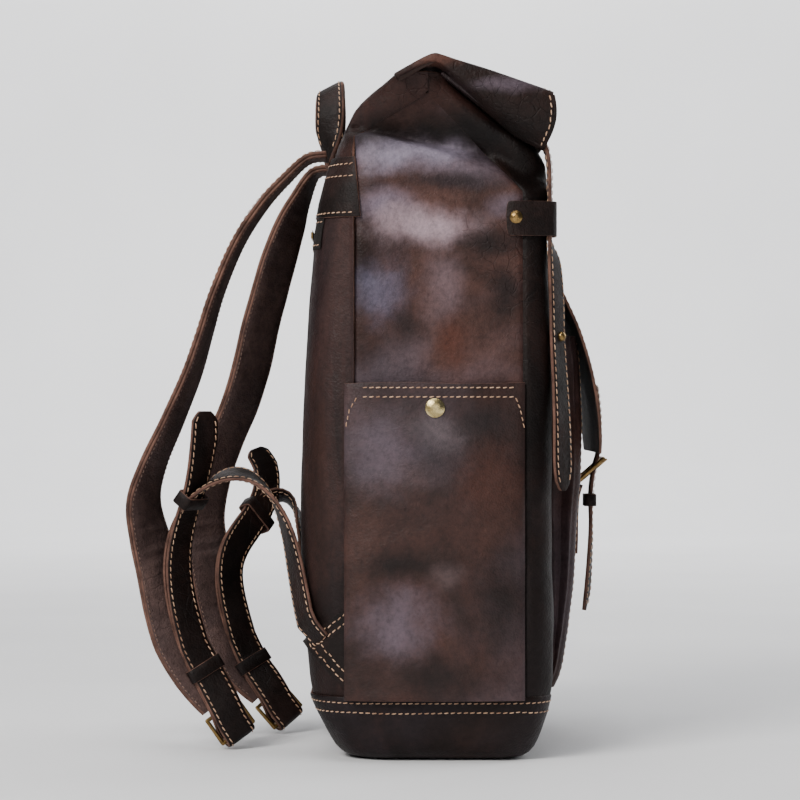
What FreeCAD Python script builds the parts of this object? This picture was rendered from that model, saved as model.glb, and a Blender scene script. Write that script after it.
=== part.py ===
"""Roll-top leather backpack: one STEP file for each sub-part.

Millimetres. +Z is up, the front faces -Y, the back with the shoulder straps faces +Y.
The origin is the middle of the base, on the surface that the bag stands on.
The wearer's left is -X and the wearer's right is +X.
"""
import FreeCAD, Part
import math
import os

V = FreeCAD.Vector
LEFT, RIGHT = -1, 1
SIDES = ((LEFT, "left"), (RIGHT, "right"))

# ---- driving dimensions -------------------------------------------------------------------
LEATHER = 2.4           # body leather
THIN = 1.8              # pocket, tab and band leather
FABRIC = 0.8            # lining cloth
FIT = 0.3               # gap between pieces that lie on each other
FRONT_CORNER = 22.0     # plan radius of the front corners
BACK_CORNER = 34.0      # plan radius of the back corners

# Body outline by height: height, front face, back face, half width
BODY = (
    (3.0, -70.0, 68.0, 136.0),
    (45.0, -82.0, 88.0, 142.0),
    (100.0, -84.0, 94.0, 143.0),
    (200.0, -84.0, 94.5, 143.0),
    (300.0, -82.0, 91.0, 143.0),
    (380.0, -78.5, 84.5, 142.0),
    (405.0, -70.0, 78.0, 139.0),
    (433.0, -50.0, 69.0, 134.0),
    (460.0, -28.0, 52.0, 136.0),
    (480.0, -8.0, 21.0, 140.0),
)
GUSSET_FRONT, GUSSET_BACK = -62.0, 57.0     # seams of the side panels
GUSSET_FRONT_TOP, GUSSET_BACK_TOP = 402.0, 442.0
GUSSET_PEAK = (5.0, 472.0)

BAND_TOP = 45.0         # top edge of the base band
FLOOR = 3.0             # thickness of the base leather
BASE_INSET = 1.5        # how far the base draws in where it stands
PAD_THICK, PAD_LOW, PAD_HIGH, PAD_HALF = 5.0, 60.0, 366.0, 104.0
BOARD = 3.0             # base stiffener
LINING_TOP = 455.0
SLEEVE_HALF, SLEEVE_LOW, SLEEVE_HIGH = 110.0, 50.0, 330.0
SLEEVE_BACK, SLEEVE_DEEP, SLEEVE_WALL = 78.0, 22.0, 2.0
POUCH_DEEP, POUCH_RISE, POUCH_INSET, POUCH_CLOTH = 190.0, 8.0, 14.0, 0.8   # pouch behind the back zip

RIDGE = V(0, 3.0, 490.0)                    # fold of the roll top and its hinge line
FLAP_HALF = 146.0
FLAP_TOP_END = V(0, -83.0, 469.5)
FLAP_LOW_END = V(0, -76.5, 431.0)
FLAP_LONG = 87.0        # from the ridge to the flap's edge
FLAP_TURN = 5.0         # inner radius of the fold at the ridge
FOLD_BACK = 12.0        # angle at which the fold meets the back, degrees
HEM, HEM_THICK, HEM_PROUD = 14.0, 1.2, 0.6
CHEEK_SHORT = 16.0      # the flap's ends stop this far from the ridge

STRAP_X = 126.0         # closure straps, tabs and studs stand this far from the middle
CLOSURE_WIDTH, CLOSURE_THICK = 20.0, 2.4
STUD_Z, STUD_NECK, STUD_BALL, STUD_BASE, STUD_TALL = 300.0, 2.2, 3.6, 4.6, 7.6
SLIT_WIDTH, SLIT_LONG = 1.0, 9.0            # slit above the hole for the stud
TAB_LOW, TAB_HIGH = 370.5, 395.0
RIVET_R, RIVET_H, RIVET_RIM, RIVET_Z = 4.5, 2.0, 0.5, 383.5
RIVET_Y, RIVET_FRONT_X = -57.0, -102.0
TAB_END_Y, TAB_END_X = -50.0, -95.0         # where the tab's two ends are
TAB_LIFT = 1.2          # slack between the tab and the closure strap

POCKET_LOW, POCKET_HIGH = 46.5, 267.0       # side pockets
POCKET_FRONT, POCKET_BACK = -63.0, 64.0
POCKET_EDGE_X, POCKET_MID_X = 145.2, 152.5
HEM_BAND = 8.0
SNAP_Z, SNAP_R, SNAP_H = 249.5, 6.8, 2.2
SNAP_STEM, SNAP_SOCKET, SNAP_POST, SNAP_WELL = 1.4, 4.6, 1.3, 1.7

YOKE_LOW, YOKE_HIGH = 384.0, 427.0
ZIP_Z, ZIP_HALF, ZIP_TAPE, ZIP_SLIDER_X = 373.0, 118.0, 22.0, 108.0
ZIP_SLIT, ZIP_PITCH, TOOTH_WIDE, TOOTH_HIGH, TOOTH_DEEP = 3.0, 5.0, 3.2, 2.2, 1.4
SLIDER_HALF_X, SLIDER_HALF_Z, SLIDER_THICK, LUG, PULL_PIN = 5.0, 4.5, 1.4, 1.2, 0.6
PULL_LONG, PULL_HALF, PULL_NECK, PULL_THICK = 22.0, 3.2, 1.1, 1.2

FRONT_HALF = 92.0       # front pocket and its flap
FRONT_FLAP_HALF = 98.0
FRONT_POCKET = ((49.0, -92.0), (68.0, -97.0), (120.0, -102.0), (240.0, -106.0), (298.0, -103.0))
FLAP_PROFILE = ((349.0, -86.5), (325.0, -95.0), (311.0, -102.0), (282.0, -112.0), (251.0, -118.5),
                (216.0, -120.0))

STRAP_LEATHER, STRAP_LINING = 2.6, 2.2      # the two layers of a shoulder strap
ADJUSTER_WIDTH, ADJUSTER_THICK = 24.0, 2.4
BILLET_WIDTH, BILLET_THICK = 20.0, 2.4
HANDLE_WIDTH, HANDLE_THICK = 22.0, 4.0
PATCH_LOW, PATCH_TIP, PATCH_HIGH = 46.5, 84.0, 112.0    # leather over the adjuster's lower end
BAR, ROLLER, ROLLER_FIT = 1.5, 2.7, 0.08    # buckle bar radius, roller radius, running fit
FRONT_BUCKLE_WIDTH = 28.0
BUCKLE_WIDTH, BUCKLE_LENGTH, BUCKLE_AHEAD = 28.0, 20.0, 5.5
PRONG_EYE, PRONG_HALF, PRONG_THICK, PRONG_TIP, PRONG_PAST = 1.3, 1.5, 1.25, 0.8, 2.5
SLOT_HALF = 2.4         # half width of the slot that a prong passes through
STRANDS = (12, 16)      # stations of the shoulder strap that both strands lie along
NEAR_STRAND, FAR_STRAND, STRAND_SHIFT = 5.8, 9.2, 5.0
EASE = (4.0, 1.0, 0.0, 0.0)     # how much further out the strands stand where they come in
STRAND_GAP = 3.4        # from the middle of one strand to the middle of the other
LOWER_KEEPER_AT = 15    # station of the shoulder strap where the fixed keeper is sewn
FAR = 250.0             # beyond the bag on every side, for cutting shapes
TALL = 600.0            # above the bag, for cutting shapes

parts = {}


# ---- general helpers ------------------------------------------------------------------------
def put(name, *solids):
    """Keep the solids of one node."""
    parts[name] = solids[0] if len(solids) == 1 else Part.makeCompound(list(solids))


def unit(v):
    return v.multiply(1.0 / v.Length) if v.Length else v


def between(table, at, column):
    """The value in a column of a table ordered by its first column."""
    for low, high in zip(table, table[1:]):
        if at <= high[0]:
            part = (at - low[0]) / (high[0] - low[0])
            return low[column] + part * (high[column] - low[column])
    return table[-1][column]


def smooth(p0, p1, p2, p3, u):
    """A point on the curve through p1 and p2."""
    a = p1 * 2.0
    b = (p2 - p0) * u
    c = (p0 * 2.0 - p1 * 5.0 + p2 * 4.0 - p3) * (u * u)
    d = (p1 * 3.0 - p0 - p2 * 3.0 + p3) * (u * u * u)
    return (a + b + c + d) * 0.5


def along(stations, steps):
    """Points, tangents, width directions and widths along a strap's stations."""
    ends = [stations[0]] + list(stations) + [stations[-1]]
    out = []
    for i in range(1, len(ends) - 2):
        count = steps + 1 if i == len(ends) - 3 else steps
        for k in range(count):
            u = k / steps
            row = [ends[i - 1 + j] for j in range(4)]
            point = smooth(*[V(*r[0]) for r in row], u)
            across = smooth(*[V(*r[1]) for r in row], u)
            width = row[1][2] + (row[2][2] - row[1][2]) * u
            out.append((point, across, width))
    rows = []
    for i, (point, across, width) in enumerate(out):
        ahead = out[min(i + 1, len(out) - 1)][0]
        behind = out[max(i - 1, 0)][0]
        tangent = unit(ahead - behind)
        across = unit(across - tangent * across.dot(tangent))
        rows.append((point, tangent, across, width))
    return rows


def ribbon(stations, low, high, steps=4):
    """A strap between two offsets from its middle surface, along its normal."""
    wires = []
    for point, tangent, across, width in along(stations, steps):
        normal = tangent.cross(across)
        half = across * (width / 2)
        corners = [point - half + normal * low, point + half + normal * low,
                   point + half + normal * high, point - half + normal * high]
        wires.append(Part.makePolygon(corners + corners[:1]))
    return Part.makeLoft(wires, True, True)


def oriented(shape, at, forward, across):
    """Move a shape from its own axes (X across, Y forward, Z normal) to a place on a strap."""
    forward = unit(V(forward))
    across = unit(across - forward * across.dot(forward))
    normal = across.cross(forward)
    matrix = FreeCAD.Matrix(across.x, forward.x, normal.x, at.x,
                            across.y, forward.y, normal.y, at.y,
                            across.z, forward.z, normal.z, at.z,
                            0, 0, 0, 1)
    moved = shape.copy()
    moved.transformShape(matrix)
    return moved


def box(x0, x1, y0, y1, z0, z1):
    return Part.makeBox(x1 - x0, y1 - y0, z1 - z0, V(x0, y0, z0))


def rod(radius, start, end):
    return Part.makeCylinder(radius, (end - start).Length, start, end - start)


def dome(radius, height, at, way):
    """A button's head: a cap of a sphere that stands at a point, facing a way."""
    ball_r = (radius ** 2 + height ** 2) / (2 * height)
    way = unit(V(way))
    ball = Part.makeSphere(ball_r, at - way * (ball_r - height))
    return ball.common(rod(radius + 1, at, at + way * (height + 1)))


def profile_plate(points, x0, x1):
    """A closed outline in the YZ plane, made solid from x0 to x1."""
    corners = [V(x0, y, z) for y, z in points]
    face = Part.Face(Part.makePolygon(corners + corners[:1]))
    return face.extrude(V(x1 - x0, 0, 0))


def mirrored(shape):
    return shape.mirror(V(0, 0, 0), V(1, 0, 0))


def sided(shape, side):
    """Shapes are drawn on the left side and mirrored to the right."""
    return shape if side == LEFT else mirrored(shape)


# ---- body -----------------------------------------------------------------------------------
def section(height, out=0.0, back_in=0.0):
    """The body's outline at a height, grown by out, with the back moved in by back_in."""
    front = between(BODY, height, 1) - out
    back = between(BODY, height, 2) + out - back_in
    half = between(BODY, height, 3) + out
    room = (back - front) / 2 - 1.0
    r_front = min(FRONT_CORNER + out, room)
    r_back = min(BACK_CORNER + out, room)
    corners = ((half, back, r_back, 0), (-half, back, r_back, 90),
               (-half, front, r_front, 180), (half, front, r_front, 270))
    edges = []
    for x, y, r, start in corners:
        cx = x - math.copysign(r, x)
        cy = y - r if start < 180 else y + r
        points = [V(cx + r * math.cos(math.radians(start + a)),
                    cy + r * math.sin(math.radians(start + a)), height) for a in (0, 45, 90)]
        edges.append(points)
    lines = []
    for i, points in enumerate(edges):
        lines.append(Part.Arc(*points).toShape())
        lines.append(Part.makeLine(points[2], edges[(i + 1) % 4][0]))
    return Part.Wire(lines)


def tube(heights, out=0.0, back_in=0.0):
    return Part.makeLoft([section(h, out, back_in) for h in heights], True, True)


def levels(low, high):
    return [low] + [row[0] for row in BODY if low < row[0] < high] + [high]


def body_panels():
    heights = levels(FLOOR + FIT, BODY[-1][0])
    shell = tube(heights).cut(tube(heights, -LEATHER))
    front_cut = ((-FAR, -FAR), (GUSSET_FRONT, -FAR), (GUSSET_FRONT, GUSSET_FRONT_TOP), GUSSET_PEAK,
                 (GUSSET_PEAK[0], TALL), (-FAR, TALL))
    back_cut = ((FAR, -FAR), (GUSSET_BACK, -FAR), (GUSSET_BACK, GUSSET_BACK_TOP), GUSSET_PEAK,
                (GUSSET_PEAK[0], TALL), (FAR, TALL))
    before, behind = profile_plate(front_cut, -FAR, FAR), profile_plate(back_cut, -FAR, FAR)
    sides = shell.cut(before).cut(behind)
    slit_end = ZIP_HALF - 2 * ZIP_SLIT
    slit = box(-slit_end, slit_end, POCKET_BACK, FAR, ZIP_Z - ZIP_SLIT, ZIP_Z + ZIP_SLIT)
    put("front_panel", shell.common(before))
    put("back_panel", shell.common(behind).cut(slit))
    for side, word in SIDES:
        x0, x1 = sorted((0.0, side * FAR))
        put("gusset_" + word, sides.common(box(x0, x1, -FAR, FAR, -FLOOR, TALL)).Solids[0])


def base():
    heights = [0.0, FLOOR, BAND_TOP]
    outer = Part.makeLoft([flat_section(0.0)] + [section(h, FIT + THIN) for h in heights[1:]],
                          True, True)
    put("base_panel", outer.cut(tube([FLOOR, BAND_TOP, BAND_TOP + 1], FIT)))
    board = tube([FLOOR + 2.0, FLOOR + 2.0 + BOARD], -LEATHER - FABRIC - 4.0, PAD_THICK)
    put("base_board", board)


def flat_section(height):
    """The base's outline where it meets the surface."""
    wire = section(FLOOR, FIT + THIN - BASE_INSET)
    wire.translate(V(0, 0, height - FLOOR))
    return wire


def inside():
    gap = LEATHER + FIT
    heights = levels(FLOOR + FIT, LINING_TOP)
    cloth = tube(heights, -gap, PAD_THICK + FIT)
    hollow = tube(levels(FLOOR + FIT + FABRIC, LINING_TOP + 1), -gap - FABRIC, PAD_THICK + FIT)
    put("lining", cloth.cut(hollow))
    put("back_pad", follow_back(PAD_LOW, PAD_HIGH, PAD_HALF, gap, PAD_THICK - 1.4))
    put("zip_pouch", follow_back(ZIP_Z - POUCH_DEEP, ZIP_Z + POUCH_RISE, ZIP_HALF - POUCH_INSET,
                                 gap + PAD_THICK - 1.2, POUCH_CLOTH))
    front = SLEEVE_BACK - SLEEVE_DEEP
    outer = box(-SLEEVE_HALF, SLEEVE_HALF, front, SLEEVE_BACK, SLEEVE_LOW, SLEEVE_HIGH)
    hole = box(-SLEEVE_HALF + SLEEVE_WALL, SLEEVE_HALF - SLEEVE_WALL, front + SLEEVE_WALL,
               SLEEVE_BACK + 1, SLEEVE_LOW + SLEEVE_WALL, SLEEVE_HIGH + 1)
    put("laptop_sleeve", outer.cut(hole))


def follow_back(low, high, half, depth, thick):
    """A sheet that follows the inside of the back panel."""
    outer = [(between(BODY, z, 2) - depth, z) for z in levels(low, high)]
    inner = [(y - thick, z) for y, z in reversed(outer)]
    return profile_plate(outer + inner, -half, half)


def yoke_and_zip():
    heights = levels(YOKE_LOW, YOKE_HIGH)
    ring = tube(heights, FIT + THIN).cut(tube(heights, FIT))
    put("yoke", ring.common(box(-200, 200, GUSSET_BACK, 120, YOKE_LOW - 1, YOKE_HIGH + 1)))
    low, high = ZIP_Z - ZIP_TAPE / 2, ZIP_Z + ZIP_TAPE / 2
    tape = strip_on_back(low, high, FIT, 1.0, ZIP_HALF - 9)
    put("zip_tape", tape)
    end = ZIP_HALF - POUCH_INSET
    face = between(BODY, ZIP_Z, 2) + FIT + 1.5      # on the tape
    cord = box(-end - 2, end + 2, face + 0.05, face + 0.35, ZIP_Z - 3.4, ZIP_Z + 3.4)
    chain = cord
    for i in range(int(2 * end / ZIP_PITCH)):
        x = -end + i * ZIP_PITCH
        chain = chain.fuse(box(x, x + TOOTH_WIDE, face + 0.2, face + TOOTH_DEEP, ZIP_Z - TOOTH_HIGH,
                               ZIP_Z + TOOTH_HIGH))
    put("zip_chain", chain.removeSplitter())
    top = face + TOOTH_DEEP + FIT
    axle = top + 3.2        # the pin that the puller swings on
    body = box(-SLIDER_HALF_X, SLIDER_HALF_X, top, top + SLIDER_THICK, ZIP_Z - SLIDER_HALF_Z,
               ZIP_Z + SLIDER_HALF_Z)
    for x in (-PULL_NECK - 1.5, PULL_NECK + 0.3):
        body = body.fuse(box(x, x + LUG, top, axle + SLIDER_THICK, ZIP_Z - SLIDER_THICK,
                             ZIP_Z + SLIDER_THICK))
    slider = body.fuse(rod(PULL_PIN, V(-2.6, axle, ZIP_Z), V(2.6, axle, ZIP_Z)))
    slider.translate(V(ZIP_SLIDER_X, 0, 0))
    put("zip_slider", slider)
    flat = (axle - PULL_THICK / 2, axle + PULL_THICK / 2)
    puller = rod(PULL_PIN + 0.9, V(-PULL_NECK, axle, ZIP_Z), V(PULL_NECK, axle, ZIP_Z))
    puller = puller.fuse(box(-PULL_NECK, PULL_NECK, *flat, ZIP_Z - 6, ZIP_Z))
    puller = puller.fuse(box(-PULL_HALF, PULL_HALF, *flat, ZIP_Z - PULL_LONG, ZIP_Z - 5))
    puller = puller.cut(rod(PULL_PIN + 0.1, V(-2, axle, ZIP_Z), V(2, axle, ZIP_Z)))
    puller.translate(V(ZIP_SLIDER_X, 0, 0))
    put("zip_puller", puller)


def strip_on_back(low, high, gap, thick, half):
    rows = [(between(BODY, z, 2) + gap, z) for z in levels(low, high)]
    return profile_plate(rows + [(y + thick, z) for y, z in reversed(rows)], -half, half)


# ---- roll top -------------------------------------------------------------------------------
def slab(start, way, long, off, side, thick):
    """A sheet across the bag: it starts at a point, runs one way and lies off to a side by some gap."""
    near, far = side * off, side * (off + thick)
    corners = (start + near, start + way * long + near, start + way * long + far, start + far)
    return profile_plate([(p.y, p.z) for p in corners], -FLAP_HALF, FLAP_HALF)


def roll_top():
    top_dir = unit(FLAP_TOP_END - RIDGE)
    above = V(0, top_dir.z, -top_dir.y)
    start = RIDGE + above * FLAP_TURN
    plate = slab(start, top_dir, FLAP_LONG, 0.0, above, LEATHER)
    left, right = V(-FLAP_HALF, RIDGE.y, RIDGE.z), V(FLAP_HALF, RIDGE.y, RIDGE.z)
    ring = rod(FLAP_TURN + LEATHER, left, right).cut(rod(FLAP_TURN, left, right))
    reach = 20.0
    back = V(0, math.cos(math.radians(FOLD_BACK)), math.sin(math.radians(FOLD_BACK)))
    quarter = (RIDGE, RIDGE + above * reach, RIDGE + V(0, reach, reach), RIDGE + back * reach)
    fold = ring.common(profile_plate([(p.y, p.z) for p in quarter], -FLAP_HALF, FLAP_HALF))
    put("flap_outer", plate.fuse(fold).removeSplitter())

    low_start = RIDGE + V(0, -4.0, -1.5)
    low_dir = unit(FLAP_LOW_END - low_start)
    below = V(0, -low_dir.z, low_dir.y)
    low_long = (FLAP_LOW_END - low_start).Length
    put("flap_inner", slab(low_start, low_dir, low_long, -LEATHER, below, LEATHER))

    outline = (RIDGE + top_dir * CHEEK_SHORT + above * (FLAP_TURN - FIT),
               start + top_dir * (FLAP_LONG - 1.0) - above * FIT,
               FLAP_LOW_END - below * (LEATHER + FIT),
               low_start + low_dir * CHEEK_SHORT - below * (LEATHER + FIT))
    cheeks = []
    for side in (LEFT, RIGHT):
        x0, x1 = sorted((side * FLAP_HALF, side * (FLAP_HALF - THIN)))
        cheeks.append(profile_plate([(p.y, p.z) for p in outline], x0, x1))
    put("flap_ends", *cheeks)

    hem = HEM + HEM_PROUD
    upper = slab(start + top_dir * (FLAP_LONG - HEM), top_dir, hem, LEATHER + FIT, above, HEM_THICK)
    lower = slab(FLAP_LOW_END - low_dir * HEM, low_dir, hem, FIT, below, HEM_THICK)
    put("flap_hem", upper, lower)


CLOSURE = (
    # point, width direction, width
    ((-126, -79.5, 426.0), (1.0, 0.0, 0.0), CLOSURE_WIDTH),
    ((-126, -81.3, 410.0), (1.0, 0.0, 0.0), CLOSURE_WIDTH),
    ((-126, -81.2, 396.0), (1.0, 0.0, 0.0), CLOSURE_WIDTH),
    ((-126, -81.3, 370.0), (1.0, 0.0, 0.0), CLOSURE_WIDTH),
    ((-126, -83.2, 345.0), (1.0, 0.0, 0.0), CLOSURE_WIDTH),
    ((-126, -84.6, 300.0), (1.0, 0.0, 0.0), CLOSURE_WIDTH),
    ((-127, -88.0, 270.0), (0.9, -0.3, 0.0), CLOSURE_WIDTH),
    ((-129, -91.5, 240.0), (0.72, -0.6, 0.0), CLOSURE_WIDTH),
    ((-131, -93.5, 212.0), (0.6, -0.75, 0.0), CLOSURE_WIDTH),
    ((-132, -93.5, 198.0), (0.6, -0.75, 0.0), CLOSURE_WIDTH * 0.86),
    ((-132, -93.2, 190.0), (0.6, -0.75, 0.0), CLOSURE_WIDTH * 0.34),
)


def closures():
    for side, word in SIDES:
        strap = ribbon(CLOSURE, -CLOSURE_THICK / 2, CLOSURE_THICK / 2)
        wall = between(BODY, STUD_Z, 1)
        hole = rod(STUD_NECK + FIT, V(-STRAP_X, wall + 5, STUD_Z), V(-STRAP_X, wall - 15, STUD_Z))
        slit = box(-STRAP_X - SLIT_WIDTH / 2, -STRAP_X + SLIT_WIDTH / 2, wall - 15, wall + 5, STUD_Z,
                   STUD_Z + SLIT_LONG)
        strap = strap.cut(hole).cut(slit)
        put("closure_strap_" + word, sided(strap, side))
        put("keeper_tab_" + word, sided(keeper_tab(), side))
    studs, rivets = [], []
    for side, word in SIDES:
        wall = between(BODY, STUD_Z, 1)
        ball_at = V(-STRAP_X, wall - STUD_TALL, STUD_Z)
        stud = rod(STUD_BASE, V(-STRAP_X, wall - 0.1, STUD_Z), V(-STRAP_X, wall - 0.9, STUD_Z))
        stud = stud.fuse(rod(STUD_NECK, V(-STRAP_X, wall - 0.5, STUD_Z), ball_at))
        studs.append(sided(stud.fuse(Part.makeSphere(STUD_BALL, ball_at)), side))
        rivets.append(sided(rivet(V(-TAB_SIDE_X - 0.05, RIVET_Y, RIVET_Z), V(-1, 0, 0)), side))
        rivets.append(sided(rivet(V(RIVET_FRONT_X, TAB_FRONT_Y - 0.05, RIVET_Z), V(0, -1, 0)), side))
    put("closure_studs", *studs)
    put("tab_rivets", *rivets)


def rivet(at, way):
    """A rivet's head: a dome on a short rim."""
    return rod(RIVET_R, at, at + way * RIVET_RIM).fuse(dome(RIVET_R, RIVET_H, at + way * RIVET_RIM, way))


TAB_SIDE_X = between(BODY, TAB_LOW, 3) + FIT + THIN
TAB_FRONT_Y = between(BODY, TAB_LOW, 1) - FIT - THIN


def keeper_tab():
    """A leather loop over the closure strap, from the side panel round the front corner."""
    half = TAB_SIDE_X - THIN
    front = TAB_FRONT_Y + THIN
    r = FRONT_CORNER
    inner = [V(-half, TAB_END_Y, 0), V(-half, front + r, 0)]
    inner += [V(-half + r - r * math.cos(a), front + r - r * math.sin(a), 0) for a in (0.25, 0.5)]
    lift = CLOSURE_THICK + 2 * FIT + TAB_LIFT
    left, right = -STRAP_X - CLOSURE_WIDTH / 2, -STRAP_X + CLOSURE_WIDTH / 2
    inner += [V(left - 2.2, front - lift + 2.0, 0), V(left - 0.8, front - lift, 0)]
    inner += [V(right + 1.2, front - lift, 0), V(right + 5.0, front, 0), V(TAB_END_X, front, 0)]
    outer = []
    for i, p in enumerate(inner):
        along_tab = unit(inner[min(i + 1, len(inner) - 1)] - inner[max(i - 1, 0)])
        outer.append(p + V(along_tab.y, -along_tab.x, 0) * THIN)
    ring = inner + list(reversed(outer))
    face = Part.Face(Part.makePolygon(ring + ring[:1]))
    tab = face.extrude(V(0, 0, TAB_HIGH - TAB_LOW))
    tab.translate(V(0, 0, TAB_LOW))
    return tab


# ---- side pockets ---------------------------------------------------------------------------
def bowed(low, high, inner, thick, front, back):
    """A sheet that bows outwards between the side seams, on the left side."""
    faces = []
    for grow in (inner, inner + thick):
        faces.append((V(-POCKET_EDGE_X - grow, back, low),
                      V(-POCKET_MID_X - grow, (front + back) / 2, low),
                      V(-POCKET_EDGE_X - grow, front, low)))
    a, b = faces
    outline = Part.Wire([Part.Arc(*a).toShape(), Part.makeLine(a[2], b[2]),
                         Part.Arc(b[2], b[1], b[0]).toShape(), Part.makeLine(b[0], a[0])])
    return Part.Face(outline).extrude(V(0, 0, high - low))


def side_pockets():
    snaps = []
    for side, word in SIDES:
        panel = bowed(POCKET_LOW, POCKET_HIGH, 0.0, THIN, POCKET_FRONT, POCKET_BACK)
        mid_x = -POCKET_MID_X
        stem_hole = rod(SNAP_STEM + 0.2, V(mid_x - 8, 0, SNAP_Z), V(mid_x + 5, 0, SNAP_Z))
        put("side_pocket_" + word, sided(panel.cut(stem_hole), side))
        band = bowed(POCKET_HIGH - HEM_BAND, POCKET_HIGH + HEM_PROUD, THIN + 0.1, 1.0, POCKET_FRONT,
                     POCKET_BACK)
        put("pocket_hem_" + word, sided(band, side))
        cap = dome(SNAP_R, SNAP_H, V(mid_x - THIN - 0.1, 0, SNAP_Z), V(-1, 0, 0))
        socket = rod(SNAP_SOCKET, V(mid_x + 0.1, 0, SNAP_Z), V(mid_x + 2.4, 0, SNAP_Z))
        stem = rod(SNAP_STEM, V(mid_x - THIN - 0.5, 0, SNAP_Z), V(mid_x + 0.5, 0, SNAP_Z))
        well = rod(SNAP_WELL, V(mid_x + 1.0, 0, SNAP_Z), V(mid_x + 3.0, 0, SNAP_Z))
        put("snap_cap_" + word, sided(cap.fuse(stem).fuse(socket).cut(well), side))
        wall = -between(BODY, SNAP_Z, 3)
        post = rod(SNAP_SOCKET + 0.4, V(wall - 0.1, 0, SNAP_Z), V(wall - 1.4, 0, SNAP_Z))
        post = post.fuse(rod(SNAP_POST, V(wall - 0.5, 0, SNAP_Z), V(mid_x + 1.6, 0, SNAP_Z)))
        snaps.append(sided(post, side))
    put("snap_studs", *snaps)


# ---- front pocket ---------------------------------------------------------------------------
def front_pocket():
    outer = [(y, z) for z, y in FRONT_POCKET]
    wall = [(between(BODY, z, 1) - FIT, z) for z in reversed((49.0, 100.0, 200.0, 298.0))]
    block = profile_plate(outer + wall, -FRONT_HALF, FRONT_HALF)
    hollow = [(y + THIN, z) for z, y in FRONT_POCKET]
    hollow[0] = (hollow[0][0], FRONT_POCKET[0][0] + THIN)
    hollow[-1] = (hollow[-1][0], FRONT_POCKET[-1][0] + 5)
    hollow += [(-60, FRONT_POCKET[-1][0] + 5), (-60, FRONT_POCKET[0][0] + THIN)]
    hollow = profile_plate(hollow, -FRONT_HALF + THIN, FRONT_HALF - THIN)
    put("front_pocket", block.cut(hollow))

    rows = [(y, z) for z, y in FLAP_PROFILE]
    lid = rows + [(y - 2.2, z - 0.6) for y, z in reversed(rows)]
    put("pocket_flap", profile_plate(lid, -FRONT_FLAP_HALF, FRONT_FLAP_HALF))
    wall = [(between(BODY, z, 1) - FIT, z) for z in (341.0, 362.0)]
    band = wall + [(y - THIN, z) for y, z in reversed(wall)]
    put("flap_band", profile_plate(band, -FRONT_FLAP_HALF, FRONT_FLAP_HALF))
    wall = [(between(BODY, z, 1) - FIT, z) for z in (300.0, 340.0)]
    facing = wall + [(y - 1.0, z) for y, z in reversed(wall)]
    put("pocket_facing", profile_plate(facing, -FRONT_HALF, FRONT_HALF))


BILLET = (
    ((0, -122.3, 268.0), (1, 0, 0), 8.0),
    ((0, -122.9, 262.0), (1, 0, 0), BILLET_WIDTH),
    ((0, -125.0, 240.0), (1, 0, 0), BILLET_WIDTH),
    ((0, -124.4, 218.0), (1, 0, 0), BILLET_WIDTH),
    ((0, -121.2, 204.0), (1, 0, 0), BILLET_WIDTH),
    ((0, -119.0, 184.0), (1, 0, 0), BILLET_WIDTH),
    ((0, -118.0, 150.0), (0.97, -0.2, 0), BILLET_WIDTH),
    ((0, -115.5, 112.0), (0.92, -0.35, 0), BILLET_WIDTH),
    ((0, -114.2, 102.0), (0.92, -0.35, 0), BILLET_WIDTH * 0.8),
    ((0, -113.5, 96.0), (0.92, -0.35, 0), BILLET_WIDTH * 0.3),
)
FRONT_BAR = V(0, -110.5, 196.0)             # bar of the front buckle, on its anchor strap
FRONT_TIP = V(0, -127.5, 211.0)             # outer bar, in front of the billet


def ring_frame(width, length):
    """A buckle's wire frame in its own axes: hinge bar on X, the other bar at Y = length."""
    half = width / 2
    corners = [V(-half, 0, 0), V(half, 0, 0), V(half, length, 0), V(-half, length, 0)]
    frame = None
    for a, b in zip(corners, corners[1:] + corners[:1]):
        piece = rod(BAR, a, b).fuse(Part.makeSphere(BAR, a))
        frame = piece if frame is None else frame.fuse(piece)
    return frame.removeSplitter()


def prong(length, reach):
    """A buckle's tongue in its own axes: an eye round the hinge bar and a pin to the other bar."""
    eye = rod(BAR + PRONG_EYE, V(-PRONG_HALF, 0, 0), V(PRONG_HALF, 0, 0))
    start, tip = V(0, 0, BAR + 0.2), V(0, length + PRONG_PAST, reach)
    pin = Part.makeCone(PRONG_THICK, PRONG_TIP, (tip - start).Length, start, tip - start)
    return eye.fuse(pin).cut(rod(BAR + ROLLER_FIT, V(-2 * PRONG_HALF, 0, 0), V(2 * PRONG_HALF, 0, 0)))


def loop(width, height, thick, deep):
    """A keeper in its own axes: a closed leather band round straps that run along Y."""
    outer = box(-width / 2 - thick, width / 2 + thick, -deep / 2, deep / 2,
                -height / 2 - thick, height / 2 + thick)
    return outer.cut(box(-width / 2, width / 2, -deep, deep, -height / 2, height / 2))


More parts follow.
